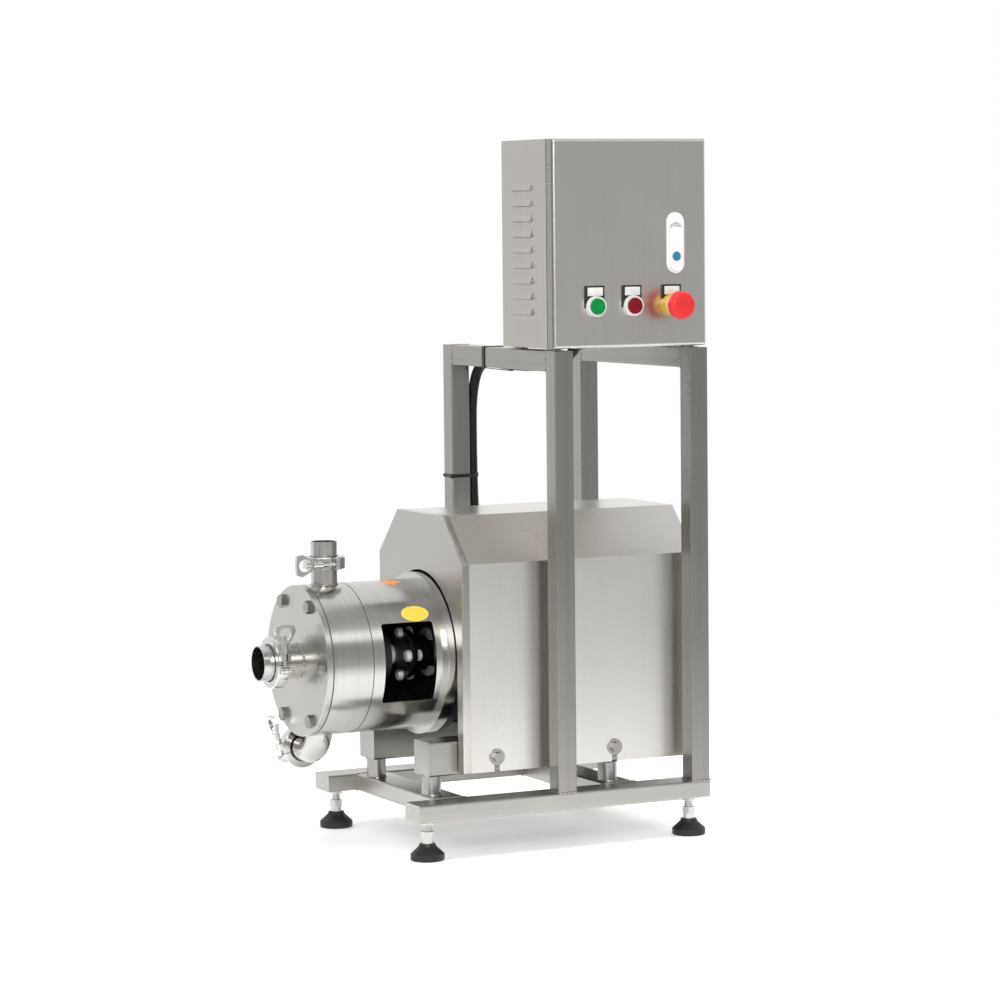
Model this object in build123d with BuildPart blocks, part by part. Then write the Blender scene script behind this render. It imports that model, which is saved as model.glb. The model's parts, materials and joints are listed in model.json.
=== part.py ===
import math
import os

from build123d import *

os.makedirs("parts", exist_ok=True)

# Driving sizes in millimetres, floor at Z 0, pump axis along X
frame_x = 236.5
frame_y = 185.0
base_z = 56.5
base_h = 25.0
base_w = 50.0
foot_x = 214.0
foot_y = 160.0
foot_stud_r = 6.0
post = 30.0
front_post_x = 0.0
rear_post_x = frame_x - post / 2
frame_top = 720.3
beam_y = frame_y - post
cross_front_x = -165.5
cross_mid_x = 112.5
rail_in = 70.0
rail_out = 120.0
rail_z = 110.7
rail_h = 50.0
rail_x0 = -191.0
rail_x1 = 225.0
rail_post_r = 14.25
pad_t = 4.0

axis_z = 276.7
pump_r = 109.5
casing_wall = 25.5
lantern_wall = 8.5
lantern_step = 9.5
bolt_inset = 14.25
plate_x0 = -343.0
plate_x1 = -334.0
gasket_t = 2.0
casing_x0 = plate_x1 + gasket_t
casing_x1 = -270.5
chamber_r = pump_r - casing_wall
chamber_x1 = -279.0
lantern_x1 = -139.5
lantern_flange_x0 = -157.5
lantern_flange_r = pump_r + lantern_step
lantern_inner_r = pump_r - lantern_wall
lantern_wall_x1 = -257.0
bearing_tube_r = 42.0
bearing_tube_x1 = -211.0
bolt_pcd = 2 * (pump_r - bolt_inset)
m10_r = 5.0
m10_af = 17.0
m10_head = 6.4
m8_r = 4.0
m8_af = 13.0
m8_head = 5.3

pump_shaft_r = 15.0
motor_shaft_r = 14.0
hub_r = 26.0
disc_r = 35.5
hub_x0 = -193.5
disc_x0 = -177.5
disc_mid0 = -172.5
disc_mid1 = -171.5
disc_x1 = -166.5
hub_x1 = -142.0
pin_pcd = 58.0

motor_flange_r = lantern_flange_r - 1.0
motor_x0 = -127.5
motor_x1 = 105.0
motor_r = 96.0
fin_r = 106.0
cowl_r = 107.0
cowl_x1 = 197.0
motor_feet_x = (-69.5, 70.5)
motor_feet_y = 95.0
terminal_z0 = 395.0
terminal_z1 = 450.0
terminal_x0 = -95.0
terminal_x1 = 15.0
terminal_y = 50.0

cover_x0 = -145.0
cover_x1 = 237.0
cover_y = 139.5
cover_z0 = 114.5
cover_shoulder = 416.5
cover_top = 482.0
cover_top_y = 75.5
sheet = 1.5
cut_out_r = lantern_flange_r + 3.0
cover_bolt_x = (-91.5, 101.5)
cover_bolt_z = 135.7
washer_r = 12.0
washer_t = 1.6

box_x0 = -17.8
box_x1 = 233.9
box_y0 = -187.4
box_y1 = -26.8
box_z0 = 723.5
box_z1 = 1023.5
door_depth = 19.0
door_gap = 1.5
box_front = box_y0 + door_depth + door_gap
box_flange = 15.0
louvre_y = (-122.5, -59.3)
louvre_z = 776.6
louvre_pitch = 22.4
louvres = 9
hinge_axis_x = box_x0 + 4.0
hinge_axis_y = box_y0 + 9.0
hinge_zs = (box_z0 + 52.0, box_z1 - 52.0)
hinge_pin_r = 2.0
sleeve_r = 3.5
sleeve_half = 10.0
latch_x = 182.0
latch_z0 = 829.0
latch_z1 = 917.0
latch_w = 28.0
handle_w = 20.0
handle_top = 902.7
latch_pin_z = 893.5
button_z = 783.5
start_x = 48.3
stop_x = 109.1
estop_x = 171.3
bezel_r = 14.75
cap_r = 11.3

inlet_tube_r = 25.5
inlet_ferrule_r = 32.0
inlet_mid_x = -378.5
inlet_end_x = -404.0
port_tube_r = 19.0
port_ferrule_r = 25.25
port_x = -298.5
port_mid_z = 417.5
port_end_z = 448.0
drain_x = -309.5
drain_z = 140.5
drain_mid_y = 69.0
tube_wall = 1.5
ferrule_rim = 1.6
clamp_half_w = 9.0
clamp_wall = 6.5

conduit_r = 8.0

# Named clearances between pieces
fit = 0.02
running = 0.05
free = 0.3


# Shared shapes, each added to the part being built
def block(x0, x1, y0, y1, z0, z1, mode=Mode.ADD):
    with Locations(((x0 + x1) / 2, (y0 + y1) / 2, (z0 + z1) / 2)):
        Box(x1 - x0, y1 - y0, z1 - z0, mode=mode)


def round_x(radius, x0, x1, y=0.0, z=axis_z, mode=Mode.ADD):
    with BuildSketch(Plane.YZ.offset(x0)) as face:
        with Locations((y, z)):
            Circle(radius)
    extrude(face.sketch, amount=x1 - x0, mode=mode)


def round_y(radius, y0, y1, x, z, mode=Mode.ADD):
    with BuildSketch(Plane.XZ.offset(-y0)) as face:
        with Locations((x, z)):
            Circle(radius)
    extrude(face.sketch, amount=y0 - y1, mode=mode)


def round_z(radius, z0, z1, x, y, mode=Mode.ADD):
    with BuildSketch(Plane.XY.offset(z0)) as face:
        with Locations((x, y)):
            Circle(radius)
    extrude(face.sketch, amount=z1 - z0, mode=mode)


def bar(place, u, v, width, height, length, corner=2.5, mode=Mode.ADD):
    with BuildSketch(place) as face:
        with Locations((u, v)):
            RectangleRounded(width, height, corner)
    extrude(face.sketch, amount=length, mode=mode)


def hexagon(place, flats, height, mode=Mode.ADD):
    with BuildSketch(place) as face:
        RegularPolygon(flats / 2, 6, major_radius=False)
    extrude(face.sketch, amount=height, mode=mode)


def hex_bolt(place, flats, head, radius, length):
    hexagon(place, flats, head)
    with BuildSketch(place) as face:
        Circle(radius)
    extrude(face.sketch, amount=-length)


def around_axis(radius, start, count):
    for step in range(count):
        angle = math.radians(start + 360.0 * step / count)
        yield radius * math.sin(angle), axis_z + radius * math.cos(angle)


def corners(half_x, half_y):
    for side_x in (-half_x, half_x):
        for side_y in (-half_y, half_y):
            yield side_x, side_y


def finish(part, name):
    part.label = name
    export_step(part, "parts/" + name + ".step")


# Base frame of flat rectangular tubes
with BuildPart() as base_frame:
    for side in (-1, 1):
        tube_y = side * (frame_y - base_w / 2)
        bar(Plane.YZ.offset(-frame_x), tube_y, base_z + base_h / 2, base_w, base_h, 2 * frame_x)
    for cross_x in (cross_front_x, cross_mid_x):
        inner = frame_y - base_w
        bar(Plane.XZ.offset(-inner), cross_x, base_z + base_h / 2, base_w, base_h, 2 * inner)
    for x, y in corners(foot_x, foot_y):
        round_z(foot_stud_r + free, base_z - 1, base_z + 23.0, x, y, Mode.SUBTRACT)
finish(base_frame.part, "base_frame")

# Nuts welded under the base tubes for the feet
with BuildPart() as foot_nuts:
    for x, y in corners(foot_x, foot_y):
        hexagon(Plane((x, y, base_z - 5.5)), 19.0, 5.5)
        round_z(foot_stud_r + running, base_z - 6, base_z + 1, x, y, Mode.SUBTRACT)
finish(foot_nuts.part, "foot_nuts")

# Four posts and the two beams that carry the control box
with BuildPart() as upper_frame:
    for post_x in (front_post_x, rear_post_x):
        for side in (-1, 1):
            post_y = side * (frame_y - post / 2)
            height = frame_top - base_z - base_h
            bar(Plane.XY.offset(base_z + base_h), post_x, post_y, post, post, height, 2.0)
        beam_z = frame_top - post / 2
        bar(Plane.XZ.offset(-beam_y), post_x, beam_z, post, post, 2 * beam_y, 2.0)
finish(upper_frame.part, "upper_frame")

# Rails under the motor with their pads, round posts and cover spacers
rail_top = rail_z + rail_h
with BuildPart() as motor_rails:
    rail_y = (rail_in + rail_out) / 2
    rail_w = rail_out - rail_in
    rail_l = rail_x1 - rail_x0
    for side in (-1, 1):
        bar(Plane.YZ.offset(rail_x0), side * rail_y, rail_z + rail_h / 2, rail_w, rail_h, rail_l, 3.0)
        base_top = base_z + base_h
        round_z(rail_post_r, base_top, rail_z, rail_x0 + rail_post_r + 0.5, side * rail_y)
        round_z(rail_post_r, base_top, rail_z, cross_mid_x - 5.5, side * (rail_out - rail_post_r))
        for foot in motor_feet_x:
            pad_y = side * motor_feet_y
            block(foot - 21, foot + 21, pad_y - 17, pad_y + 17, rail_top, rail_top + pad_t)
            round_z(m10_r + running, rail_z + 25, rail_top + pad_t + 1, foot, pad_y, Mode.SUBTRACT)
        for x in cover_bolt_x:
            near, far = sorted((side * rail_out, side * (cover_y - sheet)))
            round_y(10.0, near, far, x, cover_bolt_z)
            near, far = sorted((side * (rail_out - 12), side * cover_y))
            round_y(m8_r + running, near, far, x, cover_bolt_z, Mode.SUBTRACT)
finish(motor_rails.part, "motor_rails")

# Levelling feet, each a rubber pad and a threaded stud with a collar
pad_rim_z = 9.0
pad_top_z = 23.5
socket_z = 12.0
collar_z = 32.0
hex_z = 41.0
stud_top = 70.0


def foot_pad(x, y):
    with BuildPart() as pad:
        with BuildSketch(Plane.XZ) as profile:
            with BuildLine():
                Polyline(
                    (0, 0),
                    (23.5, 0),
                    (24.5, 1.5),
                    (24.5, pad_rim_z),
                    (13.0, pad_top_z - 4),
                    (11.5, pad_top_z),
                    (5.0 + running, pad_top_z),
                    (5.0 + running, socket_z),
                    (0, socket_z),
                    close=True,
                )
            make_face()
        revolve(axis=Axis.Z)
    return Pos(x, y, 0) * pad.part


def foot_stud(x, y):
    with BuildPart() as stud:
        round_z(5.0, socket_z, pad_top_z, 0, 0)
        round_z(8.0, pad_top_z, collar_z, 0, 0)
        hexagon(Plane.XY.offset(collar_z), 18.0, hex_z - collar_z)
        round_z(foot_stud_r, hex_z, stud_top, 0, 0)
        chamfer(stud.faces().sort_by(Axis.Z)[-1].edges(), 1.0)
    return Pos(x, y, 0) * stud.part


for number, (x, y) in enumerate(corners(foot_x, foot_y), 1):
    finish(foot_pad(x, y), f"foot_pad_{number}")
    finish(foot_stud(x, y), f"foot_stud_{number}")


# Clamp ferrule on a pipe, made from its face along the pipe
def ferrule(face_at, away, tube_r, rim_r, length):
    taper = (rim_r - tube_r - 2.0) * math.tan(math.radians(20))
    with BuildPart() as pipe:
        with BuildSketch(Plane.XZ):
            with BuildLine():
                Polyline(
                    (tube_r - tube_wall, 0),
                    (rim_r, 0),
                    (rim_r, ferrule_rim),
                    (tube_r + 2.0, ferrule_rim + taper),
                    (tube_r, ferrule_rim + taper + 2.0),
                    (tube_r, length),
                    (tube_r - tube_wall, length),
                    close=True,
                )
            make_face()
        revolve(axis=Axis.Z)
    return Plane(origin=face_at, z_dir=away).location * pipe.part


half_seal = gasket_t / 2

# Front plate with the inlet neck and six bolt holes
with BuildPart() as front_plate:
    round_x(pump_r, plate_x0, plate_x1)
    chamfer(front_plate.faces().sort_by(Axis.X)[0].edges(), 1.0)
    neck_x = inlet_mid_x + half_seal
    add(ferrule((neck_x, 0, axis_z), (1, 0, 0), inlet_tube_r, inlet_ferrule_r, plate_x0 - neck_x + 1))
    round_x(inlet_tube_r - tube_wall, plate_x0 - 1, plate_x1 + 1, mode=Mode.SUBTRACT)
    for y, z in around_axis(bolt_pcd / 2, -30, 6):
        round_x(m10_r + free, plate_x0 - 1, plate_x1 + 1, y, z, Mode.SUBTRACT)
finish(front_plate.part, "front_plate")

# Seals between the plate, the casing and the three clamped ports
with BuildPart() as gaskets:
    round_x(pump_r - 0.5, plate_x1, casing_x0)
    round_x(chamber_r, plate_x1, casing_x0, mode=Mode.SUBTRACT)
    for y, z in around_axis(bolt_pcd / 2, -30, 6):
        round_x(m10_r + free, plate_x1 - 1, casing_x0 + 1, y, z, Mode.SUBTRACT)
    round_x(inlet_ferrule_r - 0.5, inlet_mid_x - half_seal, inlet_mid_x + half_seal)
    round_x(inlet_tube_r - tube_wall, inlet_mid_x - 2, inlet_mid_x + 2, mode=Mode.SUBTRACT)
    round_z(port_ferrule_r - 0.5, port_mid_z - half_seal, port_mid_z + half_seal, port_x, 0)
    round_z(port_tube_r - tube_wall, port_mid_z - 2, port_mid_z + 2, port_x, 0, Mode.SUBTRACT)
    round_y(port_ferrule_r - 0.5, drain_mid_y - half_seal, drain_mid_y + half_seal, drain_x, drain_z)
    bore = port_tube_r - tube_wall
    round_y(bore, drain_mid_y - 2, drain_mid_y + 2, drain_x, drain_z, Mode.SUBTRACT)
finish(gaskets.part, "gaskets")

# Pump casing with the outlet neck on top and the drain elbow below
bend_r = 38.0
neck_z = port_mid_z - half_seal
drain_face = drain_mid_y - half_seal


def elbow(radius, top, mode):
    bend_start = (drain_x, 0, drain_z + bend_r)
    bend_end = (drain_x, bend_r, drain_z)
    with BuildLine() as route:
        Line((drain_x, 0, top), bend_start)
        TangentArc(bend_start, bend_end, tangent=(0, 0, -1))
        Line(bend_end, (drain_x, drain_face - 5, drain_z))
    with BuildSketch(Plane.XY.offset(top)) as ring:
        with Locations((drain_x, 0)):
            Circle(radius)
    sweep(ring.sketch, path=route.line, mode=mode)


with BuildPart() as casing:
    round_x(pump_r, casing_x0, casing_x1)
    neck_l = neck_z - axis_z - pump_r + 9.5
    add(ferrule((port_x, 0, neck_z), (0, 0, -1), port_tube_r, port_ferrule_r, neck_l))
    elbow(port_tube_r, drain_z + bend_r + 12, Mode.ADD)
    drain_l = drain_face - bend_r - 2
    add(ferrule((drain_x, drain_face, drain_z), (0, -1, 0), port_tube_r, port_ferrule_r, drain_l))
    bore = port_tube_r - tube_wall
    round_x(chamber_r, casing_x0 - 1, chamber_x1, mode=Mode.SUBTRACT)
    round_z(bore, axis_z + chamber_r - 24, neck_z + 1, port_x, 0, Mode.SUBTRACT)
    elbow(bore, axis_z - chamber_r + 14, Mode.SUBTRACT)
    round_y(bore, drain_face - 6, drain_face + 1, drain_x, drain_z, Mode.SUBTRACT)
    seal_r = 24.0
    round_x(seal_r + fit, chamber_x1 - 1, casing_x1 + 1, mode=Mode.SUBTRACT)
    for y, z in around_axis(bolt_pcd / 2, -30, 6):
        round_x(m10_r + free, casing_x0 - 1, casing_x1 + 1, y, z, Mode.SUBTRACT)
finish(casing.part, "casing")

# Ferrule stubs on the inlet and outlet, and the blind cap on the drain
inlet_stub = inlet_mid_x - half_seal
inlet_l = inlet_stub - inlet_end_x
inlet_ferrule = ferrule((inlet_stub, 0, axis_z), (-1, 0, 0), inlet_tube_r, inlet_ferrule_r, inlet_l)
finish(inlet_ferrule, "inlet_ferrule")
outlet_stub = port_mid_z + half_seal
outlet_l = port_end_z - outlet_stub
outlet_ferrule = ferrule((port_x, 0, outlet_stub), (0, 0, 1), port_tube_r, port_ferrule_r, outlet_l)
finish(outlet_ferrule, "outlet_ferrule")
with BuildPart() as drain_cap:
    with BuildSketch(Plane.XZ):
        with BuildLine():
            Polyline(
                (0, 0),
                (port_ferrule_r, 0),
                (port_ferrule_r, ferrule_rim),
                (port_ferrule_r - 6.25, 4.0),
                (port_ferrule_r - 9.25, 6.5),
                (0, 8),
                close=True,
            )
        make_face()
    revolve(axis=Axis.Z)
cap_place = Plane(origin=(drain_x, drain_mid_y + half_seal, drain_z), z_dir=(0, 1, 0))
finish(cap_place.location * drain_cap.part, "drain_cap")

# Slotted stator ring held against the plate, and the rotor that runs in it
mill_r = 50.0
mill_slots = 16
slot_w = 4.0
seal_x0 = -284.0
seal_x1 = -266.0
bearing_x0 = -262.0
bearing_w = 16.0
bearing_r = 31.0
rotor_hub_x1 = -296.0


def cut_slots(inner, outer, x0, x1):
    with BuildSketch(Plane.YZ.offset(x0)) as slots:
        with Locations((0, axis_z)):
            with PolarLocations((inner + outer) / 2, mill_slots):
                Rectangle(outer - inner, slot_w)
    extrude(slots.sketch, amount=x1 - x0, mode=Mode.SUBTRACT)


with BuildPart() as stator:
    round_x(74.0, plate_x1, plate_x1 + 4)
    round_x(57.0, plate_x1, -306.0)
    round_x(mill_r + free, plate_x1 - 1, -305.0, mode=Mode.SUBTRACT)
    cut_slots(mill_r - 5, 60.0, -326.0, -309.0)
finish(stator.part, "stator")

with BuildPart() as rotor:
    round_x(mill_r, -326.0, -298.0)
    round_x(mill_r - 8, -327.0, -304.0, mode=Mode.SUBTRACT)
    round_x(22.0, -310.0, rotor_hub_x1)
    round_x(pump_shaft_r + fit, -311.0, rotor_hub_x1 + 1, mode=Mode.SUBTRACT)
    cut_slots(mill_r - 12, mill_r + 5, -327.0, -307.0)
finish(rotor.part, "rotor")

# Pump shaft with the nut that holds the rotor
with BuildPart() as pump_shaft:
    round_x(pump_shaft_r, -310.0, disc_mid0 - 0.1)
    hexagon(Plane(origin=(-310, 0, axis_z), z_dir=(-1, 0, 0)), 34.0, 9.0)
    round_x(8.0, -324.0, -318.0)
finish(pump_shaft.part, "pump_shaft")

# Shaft seal in the casing wall and the two ball bearings behind it
with BuildPart() as shaft_seal:
    round_x(seal_r, seal_x0, seal_x1)
    round_x(pump_shaft_r + free, seal_x0 - 1, seal_x1 + 1, mode=Mode.SUBTRACT)
finish(shaft_seal.part, "shaft_seal")

with BuildPart() as shaft_bearings:
    for x in (bearing_x0, bearing_tube_x1 - 1 - bearing_w):
        round_x(bearing_r, x, x + bearing_w)
        round_x(pump_shaft_r + running, x - 1, x + bearing_w + 1, mode=Mode.SUBTRACT)
finish(shaft_bearings.part, "shaft_bearings")

# Lantern with its bearing tube and the window over the coupling
window_x = -212.0
window_l = 81.0
window_h = 114.0
motor_bolt_r = lantern_flange_r - 14.5
with BuildPart() as lantern:
    round_x(pump_r, casing_x1, lantern_x1)
    round_x(lantern_flange_r, lantern_flange_x0, lantern_x1)
    chamfer(lantern.faces().sort_by(Axis.X)[-1].edges(), 1.5)
    round_x(lantern_inner_r, lantern_wall_x1, lantern_flange_x0, mode=Mode.SUBTRACT)
    round_x(lantern_inner_r - 9, lantern_flange_x0 - 1, lantern_x1 + 1, mode=Mode.SUBTRACT)
    round_x(bearing_tube_r, lantern_wall_x1 - 1, bearing_tube_x1)
    round_x(bearing_r + fit, bearing_x0, bearing_tube_x1 + 1, mode=Mode.SUBTRACT)
    round_x(seal_r + fit, casing_x1 - 1, bearing_x0 + 1, mode=Mode.SUBTRACT)
    with BuildSketch(Plane.XZ.offset(pump_r - 49.5)) as window:
        with Locations((window_x, axis_z)):
            RectangleRounded(window_l, window_h, 4.0)
    extrude(window.sketch, amount=60, mode=Mode.SUBTRACT)
    for y, z in around_axis(bolt_pcd / 2, -30, 6):
        round_x(m10_r + running, casing_x1 - 1, lantern_wall_x1 - 1, y, z, Mode.SUBTRACT)
    for y, z in around_axis(motor_bolt_r, 45, 4):
        round_x(m10_r + running, lantern_flange_x0 + 2, lantern_x1 + 1, y, z, Mode.SUBTRACT)
finish(lantern.part, "lantern")

# Coupling of two flanged hubs joined by four pins
pin_r = 3.0
pin_circle = 31.0


def hub(hub_start, hub_end, disc_start, disc_end, bore_r):
    with BuildPart() as body:
        round_x(hub_r, hub_start, hub_end)
        round_x(disc_r, disc_start, disc_end)
        round_x(bore_r, min(hub_start, disc_start) - 1, max(hub_end, disc_end) + 1, mode=Mode.SUBTRACT)
        for y, z in around_axis(pin_circle, 0, 4):
            round_x(pin_r + fit, disc_start - 1, disc_end + 1, y, z, Mode.SUBTRACT)
    return body.part


finish(hub(hub_x0, disc_x0, disc_x0, disc_mid0, pump_shaft_r + fit), "hub_pump")
finish(hub(disc_x1, hub_x1, disc_mid1, disc_x1, motor_shaft_r + fit), "hub_motor")

with BuildPart() as coupling_pins:
    for y, z in around_axis(pin_circle, 0, 4):
        round_x(4.4, disc_x0 - 4, disc_x0, y, z)
        round_x(pin_r, disc_x0, disc_x1, y, z)
        round_x(4.4, disc_x1, disc_x1 + 4, y, z)
finish(coupling_pins.part, "coupling_pins")

# Motor end shield that bolts to the lantern
with BuildPart() as motor_flange:
    round_x(motor_flange_r, lantern_x1, motor_x0)
    round_x(60.0, lantern_x1 - 1, lantern_x1 + 4.5, mode=Mode.SUBTRACT)
    round_x(35.0, lantern_x1 + 2.5, lantern_x1 + 6)
    round_x(motor_shaft_r + running, lantern_x1 - 1, motor_x0 + 1, mode=Mode.SUBTRACT)
    for y, z in around_axis(motor_bolt_r, 45, 4):
        round_x(m10_r + free, lantern_x1 - 1, motor_x0 + 1, y, z, Mode.SUBTRACT)
finish(motor_flange.part, "motor_flange")

# Finned motor housing on its two feet
feet_half = 19.0
foot_top = rail_top + pad_t + 12.0
fins_x1 = motor_x1 - 7
with BuildPart() as motor_housing:
    round_x(motor_r - 4, motor_x0, motor_x1)
    round_x(motor_r, motor_x0 + 20, fins_x1)
    round_x(cowl_r - sheet - fit, fins_x1, motor_x1)
    for step in range(27, 154, 9):
        for side in (-1, 1):
            with BuildSketch(Plane.YZ.offset(motor_x0 + 22)) as fin:
                with Locations((0, axis_z)):
                    with PolarLocations((fin_r + motor_r - 6) / 2, 1, 90 + side * step):
                        Rectangle(fin_r - motor_r + 6, 3.0)
            extrude(fin.sketch, amount=fins_x1 - motor_x0 - 22)
    feet_x0 = motor_feet_x[0] - feet_half
    feet_x1 = motor_feet_x[1] + feet_half
    for side in (-1, 1):
        near, far = sorted((side * 70, side * (motor_feet_y + 17)))
        block(feet_x0, feet_x1, near, far, rail_top + pad_t, foot_top)
        near, far = sorted((side * 70, side * 80))
        block(feet_x0, feet_x1, near, far, rail_top + pad_t, axis_z - 50)
        for foot in motor_feet_x:
            pad_y = side * motor_feet_y
            round_z(m10_r + free, rail_top, foot_top + 1, foot, pad_y, Mode.SUBTRACT)
    block(terminal_x0 + 10, terminal_x1 - 10, -38, 38, axis_z + 80, terminal_z0)
    round_x(motor_shaft_r + free, motor_x0 - 1, motor_x1 + 1, mode=Mode.SUBTRACT)
finish(motor_housing.part, "motor_housing")

# Motor shaft, cooling fan and the cowl over it
with BuildPart() as motor_shaft:
    round_x(motor_shaft_r, disc_mid1 + 0.1, motor_x1 + 35)
    chamfer(motor_shaft.faces().sort_by(Axis.X)[-1].edges(), 1.0)
finish(motor_shaft.part, "motor_shaft")

fan_r = 84.0
with BuildPart() as motor_fan:
    round_x(20.0, motor_x1 + 5, motor_x1 + 31)
    round_x(fan_r, motor_x1 + 5, motor_x1 + 8)
    with BuildSketch(Plane.YZ.offset(motor_x1 + 8)) as blades:
        with Locations((0, axis_z)):
            with PolarLocations((fan_r + 18) / 2, 8):
                Rectangle(fan_r - 18, 3.0)
    extrude(blades.sketch, amount=23)
    round_x(motor_shaft_r + fit, motor_x1 + 4, motor_x1 + 32, mode=Mode.SUBTRACT)
finish(motor_fan.part, "motor_fan")

with BuildPart() as fan_cowl:
    round_x(cowl_r, fins_x1, cowl_x1)
    fillet(fan_cowl.faces().sort_by(Axis.X)[-1].edges(), 8.0)
    round_x(cowl_r - sheet, fins_x1 - 1, cowl_x1 - 9, mode=Mode.SUBTRACT)
    round_x(cowl_r - 9, cowl_x1 - 10, cowl_x1 - sheet, mode=Mode.SUBTRACT)
    with BuildSketch(Plane.YZ.offset(cowl_x1 - 4)) as grille:
        with Locations((0, axis_z)):
            with PolarLocations((cowl_r - 3) / 2, 16):
                SlotOverall(cowl_r - 61, 6)
    extrude(grille.sketch, amount=8, mode=Mode.SUBTRACT)
finish(fan_cowl.part, "fan_cowl")

# Terminal box with its lid and the hole for the conduit gland
gland_y = 20.0
gland_z = terminal_z0 + 27.0
gland_r = 8.0
with BuildPart() as motor_terminal_box:
    lid_z = terminal_z1 - 14
    length = terminal_x1 - terminal_x0
    middle = (terminal_x0 + terminal_x1) / 2
    bar(Plane.XY.offset(terminal_z0), middle, 0, length, 2 * terminal_y, lid_z - terminal_z0, 6.0)
    block(
        terminal_x0 + 4,
        terminal_x1 - 4,
        4 - terminal_y,
        terminal_y - 4,
        terminal_z0 + 4,
        lid_z + 1,
        Mode.SUBTRACT,
    )
    round_x(gland_r + fit, terminal_x1 - 6, terminal_x1 + 1, gland_y, gland_z, Mode.SUBTRACT)
    round_z(9.0, terminal_z0 - 1, terminal_z0 + 5, middle, 0, Mode.SUBTRACT)
with BuildPart() as terminal_lid:
    bar(Plane.XY.offset(lid_z), middle, 0, length, 2 * terminal_y, 14.0, 6.0)
    fillet(terminal_lid.faces().sort_by(Axis.Z)[-1].edges(), 4.0)
finish(Compound(children=[motor_terminal_box.part, terminal_lid.part]), "motor_terminal_box")

# Hexagon bolts of the plate, the motor flange and the motor feet
with BuildPart() as hex_bolts:
    for y, z in around_axis(bolt_pcd / 2, -30, 6):
        hex_bolt(Plane(origin=(plate_x0, y, z), z_dir=(-1, 0, 0)), m10_af, m10_head, m10_r, 84.0)
    for y, z in around_axis(motor_bolt_r, 45, 4):
        hex_bolt(Plane(origin=(motor_x0, y, z), z_dir=(1, 0, 0)), m10_af, m10_head, m10_r, 26.0)
    for foot in motor_feet_x:
        for side in (-1, 1):
            seat = Plane((foot, side * motor_feet_y, foot_top))
            hex_bolt(seat, m10_af, m10_head, m10_r, 35.0)
finish(hex_bolts.part, "hex_bolts")


# Sheet cover over the motor, open below, cut out round the lantern flange
def cover_outline(inset):
    slope = inset * 0.41
    low = cover_z0 - 10 * inset
    half = [
        (cover_y - inset, low),
        (cover_y - inset, cover_shoulder - slope),
        (cover_top_y - slope, cover_top - inset),
    ]
    return half + [(-y, z) for y, z in reversed(half)]


slot_half = m8_r + free
notch_x = 162.0
notch_half = 26.0
notch_top = 192.0
with BuildPart() as motor_cover:
    with BuildSketch(Plane.YZ.offset(cover_x0)):
        with BuildLine():
            Polyline(*cover_outline(0), close=True)
        make_face()
    extrude(amount=cover_x1 - cover_x0)
    with BuildSketch(Plane.YZ.offset(cover_x0 + sheet)):
        with BuildLine():
            Polyline(*cover_outline(sheet), close=True)
        make_face()
    extrude(amount=cover_x1 - cover_x0 - 2 * sheet, mode=Mode.SUBTRACT)
    round_x(cut_out_r, cover_x0 - 1, cover_x0 + 5, mode=Mode.SUBTRACT)
    block(cover_x0 - 1, cover_x0 + 5, -cut_out_r, cut_out_r, cover_z0 - 1, axis_z, Mode.SUBTRACT)
    for x in cover_bolt_x:
        round_y(slot_half, -cover_y - 1, cover_y + 1, x, cover_bolt_z, Mode.SUBTRACT)
        block(
            x - slot_half,
            x + slot_half,
            -cover_y - 1,
            cover_y + 1,
            cover_z0 - 1,
            cover_bolt_z,
            Mode.SUBTRACT,
        )
    block(
        notch_x - notch_half,
        notch_x + notch_half,
        cover_y - 5,
        cover_y + 1,
        cover_z0 - 1,
        notch_top,
        Mode.SUBTRACT,
    )
    with BuildSketch(Plane.YZ.offset(cover_x1 - 5)) as vents:
        with Locations((0, axis_z)):
            with GridLocations(75, 20, 2, 7):
                SlotOverall(60, 7)
    extrude(amount=6, mode=Mode.SUBTRACT)
finish(motor_cover.part, "motor_cover")

# Four bolts and washers that hold the cover on its spacers
with BuildPart() as cover_bolts:
    for x in cover_bolt_x:
        for side in (-1, 1):
            seat_y = side * (cover_y + washer_t)
            near, far = sorted((side * cover_y, seat_y))
            round_y(washer_r, near, far, x, cover_bolt_z)
            seat = Plane(origin=(x, seat_y, cover_bolt_z), x_dir=(1, 0, 0), z_dir=(0, side, 0))
            hex_bolt(seat, m8_af, m8_head, m8_r, 28.0)
finish(cover_bolts.part, "cover_bolts")

# Clamp drawn about its pipe axis Z, opening toward X, tightening bolt along Y
clamp_split = 0.6
clamp_pin_r = 2.5
pivot_y = -7.5
ear_top = 16.5
ear_bottom = 6.0
eye_r = 5.5
clamp_bolt_r = 3.0
slot_w2 = 3.3
bolt_end = 42.0
nut_r = 5.5
nut_end = 32.0
wing_end = 58.0


def clamp_sizes(rim_r):
    outer = rim_r + clamp_wall - 1.0
    bolt_x = rim_r + 7.5
    pin_x = outer + 5.5
    return outer, bolt_x, pin_x


def clamp_hollow(rim_r):
    lip = rim_r - 4.1
    rise = half_seal + ferrule_rim + free
    with BuildPart() as hollow:
        with BuildSketch(Plane.XZ):
            with BuildLine():
                Polyline(
                    (0, -clamp_half_w - 1),
                    (lip, -clamp_half_w - 1),
                    (lip, -rise - 1.5),
                    (rim_r + free, -rise),
                    (rim_r + free, rise),
                    (lip, rise + 1.5),
                    (lip, clamp_half_w + 1),
                    (0, clamp_half_w + 1),
                    close=True,
                )
            make_face()
        revolve(axis=Axis.Z)
    return hollow.part


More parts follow.
